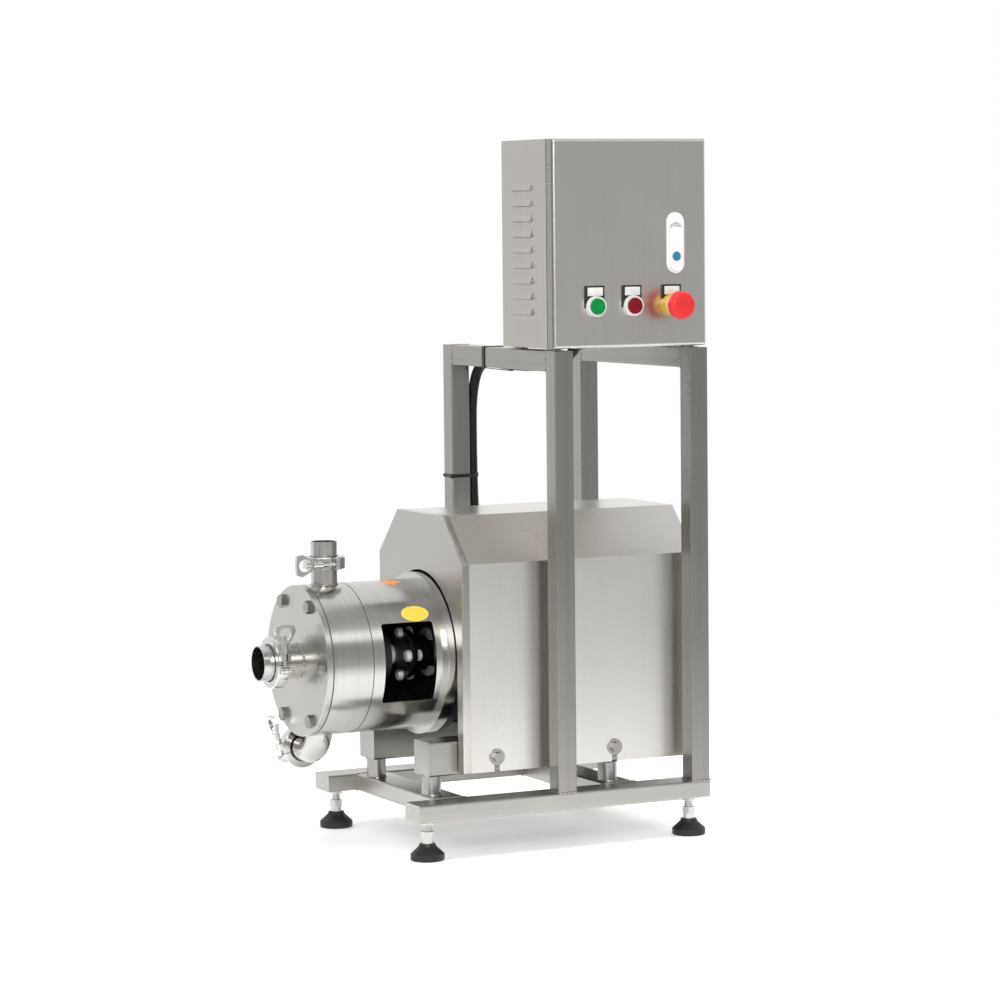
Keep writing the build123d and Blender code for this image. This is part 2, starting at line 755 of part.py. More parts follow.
def clamp_fixed(rim_r):
    outer, bolt_x, pin_x = clamp_sizes(rim_r)
    with BuildPart() as half:
        round_z(outer, -clamp_half_w, clamp_half_w, 0, 0)
        chamfer(half.edges().filter_by(GeomType.CIRCLE), 1.5)
        block(-outer, outer, -clamp_split, outer, -clamp_half_w, clamp_half_w, Mode.SUBTRACT)
        block(rim_r - 5, bolt_x, pivot_y - 5, -clamp_split, -7.5, 7.5)
        round_z(eye_r - 0.2, -7.5, 7.5, bolt_x, pivot_y)
        for level in (-clamp_half_w, clamp_half_w - 3.5):
            block(-pin_x, -outer + 3.5, -4.5, -clamp_split, level, level + 3.5)
            round_z(5.0, level, level + 3.5, -pin_x, 0)
        add(clamp_hollow(rim_r), mode=Mode.SUBTRACT)
        round_z(6.0, -slot_w2, slot_w2, bolt_x, pivot_y, Mode.SUBTRACT)
        block(bolt_x - slot_w2, bolt_x + 9, pivot_y, 1, -slot_w2, slot_w2, Mode.SUBTRACT)
        round_z(clamp_pin_r, -7.5, 7.5, bolt_x, pivot_y)
        round_z(clamp_pin_r, -clamp_half_w, clamp_half_w, -pin_x, 0)
    return half.part


def clamp_hinged(rim_r):
    outer, bolt_x, pin_x = clamp_sizes(rim_r)
    inner = clamp_half_w - 3.5 - free
    with BuildPart() as half:
        round_z(outer, -clamp_half_w, clamp_half_w, 0, 0)
        chamfer(half.edges().filter_by(GeomType.CIRCLE), 1.5)
        block(-outer, outer, -outer, clamp_split, -clamp_half_w, clamp_half_w, Mode.SUBTRACT)
        block(rim_r - 7, bolt_x + 3.2, ear_bottom, ear_top, -8, 8)
        block(-pin_x, -outer + 3.5, clamp_split, 4.5, -inner, inner)
        round_z(5.0, -inner, inner, -pin_x, 0)
        round_z(clamp_pin_r + running, -inner - 1, inner + 1, -pin_x, 0, Mode.SUBTRACT)
        add(clamp_hollow(rim_r), mode=Mode.SUBTRACT)
        block(bolt_x - slot_w2, bolt_x + 9, 0, ear_top + 1, -slot_w2, slot_w2, Mode.SUBTRACT)
    return half.part


def clamp_bolt(rim_r):
    outer, bolt_x, pin_x = clamp_sizes(rim_r)
    with BuildPart() as bolt:
        round_z(eye_r, -2.7, 2.7, bolt_x, pivot_y)
        round_y(clamp_bolt_r, pivot_y + 3.5, bolt_end, bolt_x, 0)
        round_z(clamp_pin_r + running, -4, 4, bolt_x, pivot_y, Mode.SUBTRACT)
    return bolt.part


def clamp_nut(rim_r):
    outer, bolt_x, pin_x = clamp_sizes(rim_r)
    start = ear_top + free
    with BuildPart() as nut:
        round_y(nut_r, start, nut_end, bolt_x, 0)
        with BuildSketch(Plane.YZ.offset(bolt_x - 3)):
            with BuildLine():
                Polyline(
                    (nut_end - 9, -6.0),
                    (nut_end - 1, -7.0),
                    (wing_end - 9, -16.0),
                    (wing_end - 1, -14.0),
                    (wing_end, -7.0),
                    (wing_end, 7.0),
                    (wing_end - 1, 14.0),
                    (wing_end - 9, 16.0),
                    (nut_end - 1, 7.0),
                    (nut_end - 9, 6.0),
                    close=True,
                )
            make_face()
            with Locations((wing_end - 13.0, 0)):
                Circle(9.2, mode=Mode.SUBTRACT)
        extrude(amount=6)
        round_y(clamp_bolt_r + running, start - 1, wing_end - 4, bolt_x, 0, Mode.SUBTRACT)
    return nut.part


slant = math.radians(15)
drain_out = (-math.cos(slant), 0, -math.sin(slant))
inlet_at = Plane(origin=(inlet_mid_x, 0, axis_z), x_dir=(0, -1, 0), z_dir=(-1, 0, 0))
outlet_at = Plane(origin=(port_x, 0, port_mid_z), x_dir=(0, -1, 0), z_dir=(0, 0, -1))
drain_at = Plane(origin=(drain_x, drain_mid_y, drain_z), x_dir=drain_out, z_dir=(0, 1, 0))
clamp_places = {
    "inlet": (inlet_at, inlet_ferrule_r),
    "outlet": (outlet_at, port_ferrule_r),
    "drain": (drain_at, port_ferrule_r),
}
for port, (place, rim_r) in clamp_places.items():
    finish(place.location * clamp_fixed(rim_r), f"{port}_clamp_fixed")
    finish(place.location * clamp_hinged(rim_r), f"{port}_clamp_hinged")
    finish(place.location * clamp_bolt(rim_r), f"{port}_clamp_bolt")
    finish(place.location * clamp_nut(rim_r), f"{port}_clamp_nut")


# Control box, a folded sheet shell open at the front, on four spacers
box_mid_x = (box_x0 + box_x1) / 2
box_mid_z = (box_z0 + box_z1) / 2
back_wall = box_y1 - sheet
opening_x = (box_x0 + box_flange, box_x1 - box_flange)
opening_z = (box_z0 + box_flange, box_z1 - box_flange)
conduit_hole = (92.0, -50.0)
plate_y = -36.8
plate_t = 2.0
button_r = 11.0
fork_t = 3.0
fork_near = sleeve_half + free


def louvre(wall_x, out, z):
    near, far = louvre_y
    with BuildSketch(Plane.XZ.offset(-near)) as hood:
        with BuildLine():
            Polyline(
                (wall_x - out, z + 5.5),
                (wall_x, z + 5.5),
                (wall_x + 3.5 * out, z - 4.0),
                (wall_x + 3.5 * out, z - 5.5),
                (wall_x - out, z - 5.5),
                close=True,
            )
        make_face()
    extrude(hood.sketch, amount=near - far)


def louvre_hollow(wall_x, out, z):
    near, far = louvre_y
    with BuildSketch(Plane.XZ.offset(-near - 1)) as hood:
        with BuildLine():
            Polyline(
                (wall_x - 2 * out, z + 3.0),
                (wall_x, z + 3.0),
                (wall_x + 2.4 * out, z - 4.0),
                (wall_x + 2.4 * out, z - 6.0),
                (wall_x, z - 6.0),
                (wall_x - 2 * out, z - 3.0),
                close=True,
            )
        make_face()
    extrude(hood.sketch, amount=near - far + 2, mode=Mode.SUBTRACT)


with BuildPart() as enclosure:
    block(box_x0, box_x1, box_front, box_y1, box_z0, box_z1)
    fillet(enclosure.edges().filter_by(Axis.Y), 2.0)
    for index in range(louvres):
        level = louvre_z + index * louvre_pitch
        louvre(box_x0, -1, level)
        louvre(box_x1, 1, level)
    inside = (box_x0 + sheet, box_x1 - sheet, box_front + sheet, back_wall, box_z0 + sheet, box_z1 - sheet)
    block(*inside, Mode.SUBTRACT)
    block(*opening_x, box_front - 1, box_front + 5, *opening_z, Mode.SUBTRACT)
    for index in range(louvres):
        level = louvre_z + index * louvre_pitch
        louvre_hollow(box_x0, -1, level)
        louvre_hollow(box_x1, 1, level)
    for x in (front_post_x, rear_post_x):
        for y in (box_front + 15, box_y1 - 20):
            round_z(11.0, frame_top, box_z0 + 0.5, x, y)
    round_z(12.5, box_z0 - 1, box_z0 + 5, *conduit_hole, Mode.SUBTRACT)
    for z in hinge_zs:
        for side in (-1, 1):
            near, far = sorted((z + side * fork_near, z + side * (fork_near + fork_t)))
            block(hinge_axis_x - 2.5, hinge_axis_x + 2.5, hinge_axis_y, box_front + 0.5, near, far)
            round_z(3.0, near, far, hinge_axis_x, hinge_axis_y)
        round_z(hinge_pin_r, z - sleeve_half - 1, z + sleeve_half + 1, hinge_axis_x, hinge_axis_y)
finish(enclosure.part, "enclosure")

# Door with folded rims, hinge sleeves and holes for the controls
door_back = box_y0 + door_depth
latch_mid_z = (latch_z0 + latch_z1) / 2
latch_pocket_w = latch_w - 4
with BuildPart() as enclosure_door:
    block(box_x0, box_x1, box_y0, door_back, box_z0, box_z1)
    fillet(enclosure_door.edges().filter_by(Axis.Y), 2.0)
    fillet(enclosure_door.faces().sort_by(Axis.Y)[0].edges(), 5.0)
    block(
        box_x0 + sheet,
        box_x1 - sheet,
        box_y0 + sheet,
        door_back + 1,
        box_z0 + sheet,
        box_z1 - sheet,
        Mode.SUBTRACT,
    )
    for z in hinge_zs:
        for side in (-1, 1):
            near, far = sorted((z + side * sleeve_half, z + side * (fork_near + fork_t + free)))
            block(box_x0 - 1, box_x0 + 8, box_y0 + 4.5, door_back + 1, near, far, Mode.SUBTRACT)
        block(
            hinge_axis_x - 1.5,
            hinge_axis_x + 1.5,
            box_y0 + 1,
            hinge_axis_y,
            z - sleeve_half,
            z + sleeve_half,
        )
        round_z(sleeve_r, z - sleeve_half, z + sleeve_half, hinge_axis_x, hinge_axis_y)
        round_z(hinge_pin_r + running, z - 20, z + 20, hinge_axis_x, hinge_axis_y, Mode.SUBTRACT)
    for x in (start_x, stop_x, estop_x):
        round_y(button_r + fit, box_y0 - 1, box_y0 + 5, x, button_z, Mode.SUBTRACT)
    with BuildSketch(Plane.XZ.offset(-box_y0 + 1)) as latch_cut:
        with Locations((latch_x, latch_mid_z)):
            SlotOverall(latch_z1 - latch_z0 - 4, latch_pocket_w, rotation=90)
    extrude(amount=-5, mode=Mode.SUBTRACT)
finish(enclosure_door.part, "enclosure_door")

# Latch plate with its pocket, back housing and tongue
plate_front = box_y0 - 2.5
pocket_floor = box_y0 + 4.5
handle_t = 7.0
handle_front = box_y0 - 3.5
handle_bottom = latch_z0 + 3.0
with BuildPart() as latch_plate:
    with BuildSketch(Plane.XZ.offset(-box_y0)):
        with Locations((latch_x, latch_mid_z)):
            SlotOverall(latch_z1 - latch_z0, latch_w, rotation=90)
    extrude(amount=2.5)
    chamfer(latch_plate.faces().sort_by(Axis.Y)[0].edges(), 0.8)
    with BuildSketch(Plane.XZ.offset(-box_y0)):
        with Locations((latch_x, latch_mid_z)):
            SlotOverall(latch_z1 - latch_z0 - 4 - 2 * free, latch_pocket_w - 2 * free, rotation=90)
    extrude(amount=-8)
    with BuildSketch(Plane.XZ.offset(-pocket_floor)):
        with Locations((latch_x, (handle_top + handle_bottom) / 2)):
            SlotOverall(handle_top - handle_bottom + 2 * free, handle_w + 2 * free, rotation=90)
    extrude(amount=20, mode=Mode.SUBTRACT)
    pin_y = box_y0 + 0.2
    with BuildSketch(Plane.YZ.offset(latch_x - 12)):
        with Locations((pin_y, latch_pin_z)):
            Circle(1.2 + running)
    extrude(amount=24, mode=Mode.SUBTRACT)
    round_y(9.0, box_y0 + 8, box_y0 + 30, latch_x, latch_mid_z)
    block(latch_x - 8, latch_x + 8, box_y0 + 30, box_y0 + 33, latch_mid_z - 38, latch_mid_z + 10)
finish(latch_plate.part, "latch_plate")

with BuildPart() as latch_handle:
    with BuildSketch(Plane.XZ.offset(-handle_front)):
        with Locations((latch_x, (handle_top + handle_bottom) / 2)):
            SlotOverall(handle_top - handle_bottom, handle_w, rotation=90)
    extrude(amount=-handle_t)
    handle_end = latch_pin_z + 2.4
    beyond = (handle_front - 1, box_y0 + 10)
    block(latch_x - 12, latch_x + 12, *beyond, handle_end, handle_top + 1, Mode.SUBTRACT)
    for side in (-1, 1):
        near, far = sorted((latch_x + side * (handle_w / 2 - 1.2), latch_x + side * (handle_w / 2 + 1)))
        block(near, far, *beyond, latch_pin_z - 1, handle_end + 1, Mode.SUBTRACT)
    round_x(1.2, latch_x - 11.5, latch_x + 11.5, pin_y, latch_pin_z)
finish(latch_handle.part, "latch_handle")

# Bezels and switch bodies of the three buttons, fixed in the door
collar_out = 10.0
estop_collar_out = 18.5
with BuildPart() as button_bodies:
    for x in (start_x, stop_x, estop_x):
        out = estop_collar_out if x == estop_x else collar_out
        round_y(bezel_r, box_y0 - out, box_y0, x, button_z)
        round_y(button_r, box_y0, box_y0 + 14, x, button_z)
        round_y(14.0, box_y0 + sheet, box_y0 + 5, x, button_z)
        block(x - 14, x + 14, box_y0 + 14, box_y0 + 38, button_z - 14, button_z + 14)
        if x == estop_x:
            round_y(8.0 + free, box_y0 - out - 1, box_y0 + 8, x, button_z, Mode.SUBTRACT)
        else:
            round_y(cap_r + free, box_y0 - out - 1, box_y0 - 1.5, x, button_z, Mode.SUBTRACT)
            round_y(4.0 + free, box_y0 - 2, box_y0 + 10, x, button_z, Mode.SUBTRACT)
finish(button_bodies.part, "button_bodies")


def push_cap(x):
    with BuildPart() as cap:
        round_y(cap_r, box_y0 - 14, box_y0 - 6, x, button_z)
        chamfer(cap.faces().sort_by(Axis.Y)[0].edges(), 0.8)
        round_y(4.0, box_y0 - 6, box_y0 + 4, x, button_z)
    return cap.part


finish(push_cap(start_x), "start_button")
finish(push_cap(stop_x), "stop_button")

with BuildPart() as estop_button:
    round_y(20.5, box_y0 - 45, box_y0 - 33, estop_x, button_z)
    fillet(estop_button.faces().sort_by(Axis.Y)[0].edges(), 7.0)
    round_y(15.5, box_y0 - 33, box_y0 - 24, estop_x, button_z)
    round_y(8.0, box_y0 - 24, box_y0 + 2, estop_x, button_z)
finish(estop_button.part, "estop_button")

# Mounting plate on its pillars, with the motor starter clipped on a rail
pillar_x = (25.0, 190.0)
pillar_z = (765.0, 985.0)
with BuildPart() as mounting_plate:
    block(12.0, 203.0, plate_y, plate_y + plate_t, 752.0, 998.0)
    for x in pillar_x:
        for z in pillar_z:
            round_y(5.0, plate_y, back_wall, x, z)
finish(mounting_plate.part, "mounting_plate")

rail_level = 900.0
with BuildPart() as motor_starter:
    block(25.0, 190.0, plate_y - 7.5, plate_y, rail_level - 17.5, rail_level + 17.5)
    block(45.0, 90.0, plate_y - 82, plate_y - 7.5, rail_level - 38, rail_level + 42)
    block(52.0, 83.0, plate_y - 90, plate_y - 82, rail_level - 20, rail_level + 24)
    block(45.0, 90.0, plate_y - 70, plate_y - 7.5, rail_level - 95, rail_level - 38)
    for step in range(6):
        x = 115.0 + 9 * step
        block(x, x + 8.2, plate_y - 48, plate_y - 7.5, rail_level - 24, rail_level + 24)
finish(motor_starter.part, "motor_starter")

# Corrugated conduit from the box, along the beam, down the post, under the cover
route_points = (
    (conduit_hole[0], conduit_hole[1], 800),
    (conduit_hole[0], conduit_hole[1], 692),
    (25, 35, 692),
    (25, 166, 699),
    (23.7, 167, 520),
    (30, 166, 400),
    (60, 166, 290),
    (95, 166, 175),
    (200, 123.5, 175),
    (200, 121, 330),
    (135, gland_y, gland_z),
    (terminal_x1 + 17, gland_y, gland_z),
)


def corner_radii(points):
    radii = []
    for before, here, after in zip(points, points[1:], points[2:]):
        arriving = Vector(*here) - Vector(*before)
        leaving = Vector(*after) - Vector(*here)
        half_turn = math.radians(arriving.get_angle(leaving)) / 2
        shorter = min(arriving.length, leaving.length)
        radii.append(0.45 * shorter / math.tan(half_turn))
    return radii


bend_radii = corner_radii(route_points)
print("conduit bend radii", [round(radius, 1) for radius in bend_radii])
with BuildPart() as conduit:
    with BuildLine() as route:
        FilletPolyline(*route_points, radius=bend_radii)
    with BuildSketch(Plane.XY.offset(route_points[0][2])):
        with Locations(conduit_hole):
            Circle(conduit_r)
    sweep(path=route.line)
route_length = sum(edge.length for edge in route.edges())
swept = route_length * math.pi * conduit_r**2
print("conduit length", round(route_length), "volume share", round(conduit.part.volume / swept, 4))
finish(conduit.part, "conduit")

# Grommet in the box floor, two cable ties and the gland on the terminal box
tie_t = 1.6
with BuildPart() as conduit_fittings:
    x, y = conduit_hole
    round_z(16.0, box_z0 - 3, box_z0, x, y)
    round_z(12.4, box_z0, box_z0 + sheet, x, y)
    round_z(16.0, box_z0 + sheet, box_z0 + 4.5, x, y)
    round_z(conduit_r + 0.5, box_z0 - 4, box_z0 + 6, x, y, Mode.SUBTRACT)
    hexagon(Plane(origin=(terminal_x1, gland_y, gland_z), z_dir=(1, 0, 0)), 24.0, 10.0)
    round_x(10.5, terminal_x1 + 10, terminal_x1 + 17, gland_y, gland_z)
    round_x(gland_r, terminal_x1 - 6, terminal_x1, gland_y, gland_z)
    for half_w, half_h, x, y, place in (
        (25.0, 16.9, 8.4, 170.0, Plane.XY.offset(518.5)),
        (28.4, 19.5, 11.5, 702.5, Plane.XZ.offset(-48.5)),
    ):
        with BuildSketch(place):
            with Locations((x, y)):
                Rectangle(2 * half_w, 2 * half_h)
                Rectangle(2 * (half_w - tie_t), 2 * (half_h - tie_t), mode=Mode.SUBTRACT)
        extrude(amount=5.0)
finish(conduit_fittings.part, "conduit_fittings")
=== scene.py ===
import json
import math

import bpy
from mathutils import Matrix, Vector


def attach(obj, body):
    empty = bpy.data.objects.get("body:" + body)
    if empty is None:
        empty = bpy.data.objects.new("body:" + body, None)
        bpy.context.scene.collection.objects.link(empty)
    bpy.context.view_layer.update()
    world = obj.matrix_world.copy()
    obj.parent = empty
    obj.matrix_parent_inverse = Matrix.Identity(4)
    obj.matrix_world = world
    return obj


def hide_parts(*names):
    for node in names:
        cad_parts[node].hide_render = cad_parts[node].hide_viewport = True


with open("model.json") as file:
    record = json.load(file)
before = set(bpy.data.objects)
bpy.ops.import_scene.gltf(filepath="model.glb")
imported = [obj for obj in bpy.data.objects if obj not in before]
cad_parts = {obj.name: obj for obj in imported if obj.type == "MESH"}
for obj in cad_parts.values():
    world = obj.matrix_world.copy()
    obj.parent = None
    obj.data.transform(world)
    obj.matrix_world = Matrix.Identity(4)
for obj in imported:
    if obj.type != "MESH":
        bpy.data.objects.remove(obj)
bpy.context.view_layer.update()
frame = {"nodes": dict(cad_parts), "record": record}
nodes = frame["nodes"]
MM = 0.001

# Places on the object, in millimetres of the part's frame
axis_z = 276.7
post_places = [(x, y) for x in (0.0, 221.5) for y in (-170.0, 170.0)]
beam_ends = [(x, y) for x in (0.0, 221.5) for y in (-155.0, 155.0)]
cross_tube_ends = [(x, y) for x in (-165.5, 112.5) for y in (-135.0, 135.0)]
rail_posts = [(x, side * y) for x, y in ((-176.25, 95.0), (107.0, 105.75)) for side in (-1, 1)]
feet = [(x, y) for x in (-214, 214) for y in (-160, 160)]
pin_circle = 31.0
cover_rim = (-145.3, -133.0)
box_hole = (92, -50)
gland = (0, 20, 422)

# Camera where the photograph was taken. The focal length is in pixels of the photograph
photo_width = 1000.0
focal_pixels = 3554.48
sensor = 36.0
camera_place = (-2.3581, -4.6941, 0.9171)
yaw = math.radians(26.55)
pitch = math.radians(4.6)
roll = math.radians(0.6)
look = Vector((math.sin(yaw) * math.cos(pitch), math.cos(yaw) * math.cos(pitch), -math.sin(pitch)))
right = Vector((math.cos(yaw), -math.sin(yaw), 0))
down = look.cross(right)
image_right = math.cos(roll) * right + math.sin(roll) * down
image_down = -math.sin(roll) * right + math.cos(roll) * down
camera_data = bpy.data.cameras.new("camera")
camera = bpy.data.objects.new("camera", camera_data)
bpy.context.scene.collection.objects.link(camera)
camera_data.sensor_width = sensor
camera_data.lens = focal_pixels * sensor / photo_width
camera_data.clip_end = 60.0
turn = Matrix((image_right, -image_down, -look)).transposed().to_4x4()
camera.matrix_world = Matrix.Translation(camera_place) @ turn
bpy.context.scene.camera = camera
bpy.context.scene.view_settings.view_transform = "Standard"


# Hand modelling steps
def only(obj):
    bpy.ops.object.select_all(action="DESELECT")
    obj.select_set(True)
    bpy.context.view_layer.objects.active = obj


def settle(obj, name, smooth=30):
    only(obj)
    bpy.ops.object.transform_apply(location=True, rotation=True, scale=True)
    if smooth:
        bpy.ops.object.shade_smooth_by_angle(angle=math.radians(smooth))
    obj.name = name
    obj.data.name = name
    return obj


def modify(obj, kind, **values):
    only(obj)
    modifier = obj.modifiers.new(kind.lower(), kind)
    for key, value in values.items():
        setattr(modifier, key, value)
    bpy.ops.object.modifier_apply(modifier=modifier.name)


def cube(name, low, high, bevel=0.0, segments=2):
    centre = [(a + b) / 2 * MM for a, b in zip(low, high)]
    bpy.ops.mesh.primitive_cube_add(size=1, location=centre)
    obj = bpy.context.object
    obj.scale = [(b - a) * MM for a, b in zip(low, high)]
    settle(obj, name, 0)
    if bevel:
        modify(obj, "BEVEL", width=bevel * MM, segments=segments)
    return settle(obj, name)


TURN = {"x": (0, math.pi / 2, 0), "y": (-math.pi / 2, 0, 0), "z": (0, 0, 0)}


def start_circle(at, radius, sides, fill):
    """A circle in edit mode, selected, at a distance along its own axis."""
    bpy.ops.mesh.primitive_circle_add(vertices=sides, radius=radius * MM, fill_type=fill)
    bpy.ops.object.mode_set(mode="EDIT")
    bpy.ops.mesh.select_all(action="SELECT")
    bpy.ops.transform.translate(value=(0, 0, at * MM))
    return bpy.context.object


def draw_out(at, radius, steps):
    """Extrudes the selected circle through (distance, radius) steps."""
    for distance, wide in steps:
        bpy.ops.mesh.extrude_region_move(TRANSFORM_OT_translate={"value": (0, 0, (distance - at) * MM)})
        if abs(wide - radius) > 1e-6:
            ratio = wide / radius
            bpy.ops.transform.resize(value=(ratio, ratio, 1), center_override=(0, 0, distance * MM))
        at, radius = distance, wide
    bpy.ops.mesh.select_all(action="SELECT")


def turn_into_place(obj, name, axis, start, smooth):
    bpy.ops.mesh.normals_make_consistent(inside=False)
    bpy.ops.object.mode_set(mode="OBJECT")
    obj.rotation_euler = TURN[axis]
    obj.location = [value * MM for value in start]
    return settle(obj, name, smooth)


def turned(name, axis, start, steps, sides=64, smooth=30):
    """A turned piece: a disc at start, drawn out along the axis by (distance, radius) steps."""
    obj = start_circle(*steps[0], sides, "NGON")
    draw_out(*steps[0], steps[1:])
    return turn_into_place(obj, name, axis, start, smooth)


def bored(name, axis, start, steps, sides=48, smooth=30):
    """A turned ring: an open circle drawn through (distance, radius) steps and back to the first."""
    obj = start_circle(*steps[0], sides, "NOTHING")
    draw_out(*steps[0], (*steps[1:], steps[0]))
    bpy.ops.mesh.remove_doubles(threshold=0.01 * MM)
    return turn_into_place(obj, name, axis, start, smooth)


def join(name, pieces):
    bpy.ops.object.select_all(action="DESELECT")
    for piece in pieces:
        piece.select_set(True)
    bpy.context.view_layer.objects.active = pieces[0]
    if len(pieces) > 1:
        bpy.ops.object.join()
    obj = bpy.context.object
    obj.name = name
    obj.data.name = name
    return obj


# Shared masks and grains
def new_group(name, inputs, outputs):
    group = bpy.data.node_groups.new(name, "ShaderNodeTree")
    for label, kind in inputs:
        group.interface.new_socket(name=label, in_out="INPUT", socket_type=kind)
    for label, kind in outputs:
        group.interface.new_socket(name=label, in_out="OUTPUT", socket_type=kind)
    return group, group.nodes.new("NodeGroupInput"), group.nodes.new("NodeGroupOutput")


def node(tree, kind, links=(), **values):
    made = tree.nodes.new(kind)
    for key, value in values.items():
        if key.startswith("in_"):
            socket = key[3:]
            made.inputs[int(socket) if socket.isdigit() else socket].default_value = value
        else:
            setattr(made, key, value)
    for source, target in links:
        tree.links.new(source, made.inputs[target])
    return made


def maths(tree, operation, *terms, clamp=False):
    """A math node's result. A term is another node's result or a number."""
    made = node(tree, "ShaderNodeMath", operation=operation, use_clamp=clamp)
    for index, term in enumerate(terms):
        if isinstance(term, (int, float)):
            made.inputs[index].default_value = term
        else:
            tree.links.new(term, made.inputs[index])
    return made.outputs[0]


def mapped(tree, value, low, high, start=0.0, end=1.0, smooth=False):
    """value from low to high, mapped to start to end."""
    made = node(tree, "ShaderNodeMapRange", [(value, "Value")], in_1=low, in_2=high, in_3=start, in_4=end)
    if smooth:
        made.interpolation_type = "SMOOTHSTEP"
    return made.outputs[0]


def make_grain():
    group, given, out = new_group(
        "brushed grain",
        [("Vector", "NodeSocketVector"), ("Stretch", "NodeSocketVector")],
        [("Grain", "NodeSocketFloat"), ("Streak", "NodeSocketFloat")],
    )
    both = [(given.outputs[0], 0), (given.outputs[1], 1)]
    scaled = node(group, "ShaderNodeVectorMath", both, operation="MULTIPLY")
    along = [(scaled.outputs[0], "Vector")]
    fine = node(group, "ShaderNodeTexNoise", along, in_Scale=1.0, in_Detail=3.0, in_Roughness=0.6)
    coarse = node(group, "ShaderNodeTexNoise", along, in_Scale=0.11, in_Detail=4.0)
    group.links.new(fine.outputs["Fac"], out.inputs[0])
    group.links.new(coarse.outputs["Fac"], out.inputs[1])
    return group


def make_smudge():
    group, given, out = new_group(
        "smudges",
        [("Vector", "NodeSocketVector"), ("Scale", "NodeSocketFloat")],
        [("Mask", "NodeSocketFloat")],
    )
    taken = [(given.outputs[0], "Vector"), (given.outputs[1], "Scale")]
    cloud = node(group, "ShaderNodeTexNoise", taken, in_Detail=5.0, in_Distortion=0.6)
    group.links.new(mapped(group, cloud.outputs["Fac"], 0.35, 0.7), out.inputs[0])
    return group


grain_group = make_grain()
smudge_group = make_smudge()
# How often the grain repeats per metre along x, y and z
GRAIN = {
    "x": (18.0, 1400.0, 1400.0),
    "y": (1400.0, 18.0, 1400.0),
    "z": (1400.0, 1400.0, 18.0),
    "ring_x": (1600.0, 40.0, 40.0),
    "ring_z": (40.0, 40.0, 1600.0),
    "all": (500.0, 500.0, 500.0),
}


def start_material(name):
    material = bpy.data.materials.new(name)
    material.use_nodes = True
    tree = material.node_tree
    surface = tree.nodes["Principled BSDF"]
    place = node(tree, "ShaderNodeTexCoord")
    return material, tree, surface, place.outputs["Object"]


def grain_of(tree, place, along):
    x, y, z = GRAIN[along]
    stretch = node(tree, "ShaderNodeCombineXYZ", in_0=x, in_1=y, in_2=z)
    grain = node(tree, "ShaderNodeGroup", node_tree=grain_group)
    tree.links.new(place, grain.inputs["Vector"])
    tree.links.new(stretch.outputs[0], grain.inputs["Stretch"])
    return grain


def smudge_of(tree, place, scale):
    smudge = node(tree, "ShaderNodeGroup", [(place, "Vector")], node_tree=smudge_group)
    smudge.inputs["Scale"].default_value = scale
    return smudge.outputs[0]


def metal(name, dark, light, rough=(0.25, 0.4), along="z", cross=None, bump=0.12, smudges=6.0, metallic=1.0):
    """Brushed or turned metal. cross gives the grain within that distance of the XZ plane."""
    material, tree, surface, place = start_material(name)
    grain = grain_of(tree, place, along)
    fac, streak = grain.outputs["Grain"], grain.outputs["Streak"]
    if cross:
        other = grain_of(tree, place, cross[0])
        parts = node(tree, "ShaderNodeSeparateXYZ", [(place, 0)])
        inside = maths(tree, "LESS_THAN", maths(tree, "ABSOLUTE", parts.outputs["Y"]), cross[1] * MM)
        mixed = node(tree, "ShaderNodeMix", [(inside, 0), (fac, 2), (other.outputs["Grain"], 3)])
        streaks = node(tree, "ShaderNodeMix", [(inside, 0), (streak, 2), (other.outputs["Streak"], 3)])
        fac, streak = mixed.outputs[0], streaks.outputs[0]
    smudge = smudge_of(tree, place, smudges)
    tone = node(tree, "ShaderNodeMix", [(streak, 0)], data_type="RGBA", in_6=(*dark, 1), in_7=(*light, 1))
    tree.links.new(tone.outputs[2], surface.inputs["Base Color"])
    spread = maths(tree, "ADD", fac, smudge)
    tree.links.new(mapped(tree, spread, 0.3, 1.6, *rough), surface.inputs["Roughness"])
    lift = node(tree, "ShaderNodeBump", [(fac, "Height")], in_Strength=bump, in_Distance=0.0002)
    tree.links.new(lift.outputs[0], surface.inputs["Normal"])
    surface.inputs["Metallic"].default_value = metallic
    return material


def solid(name, colour, rough=(0.3, 0.45), bump=0.05, smudges=25.0, metallic=0.0, coat=0.0, shine=0.5):
    """Paint, plastic or rubber with a faint texture."""
    material, tree, surface, place = start_material(name)
    grain = grain_of(tree, place, "all")
    smudge = smudge_of(tree, place, smudges)
    deep = tuple(0.8 * value for value in colour)
    tone = node(tree, "ShaderNodeMix", [(smudge, 0)], data_type="RGBA", in_6=(*colour, 1), in_7=(*deep, 1))
    tree.links.new(tone.outputs[2], surface.inputs["Base Color"])
    tree.links.new(mapped(tree, smudge, 0.0, 1.0, *rough), surface.inputs["Roughness"])
    lift = node(tree, "ShaderNodeBump", [(grain.outputs[0], "Height")], in_Strength=bump, in_Distance=0.0003)
    tree.links.new(lift.outputs[0], surface.inputs["Normal"])
    surface.inputs["Metallic"].default_value = metallic
    surface.inputs["Coat Weight"].default_value = coat
    surface.inputs["Specular IOR Level"].default_value = shine
    return material


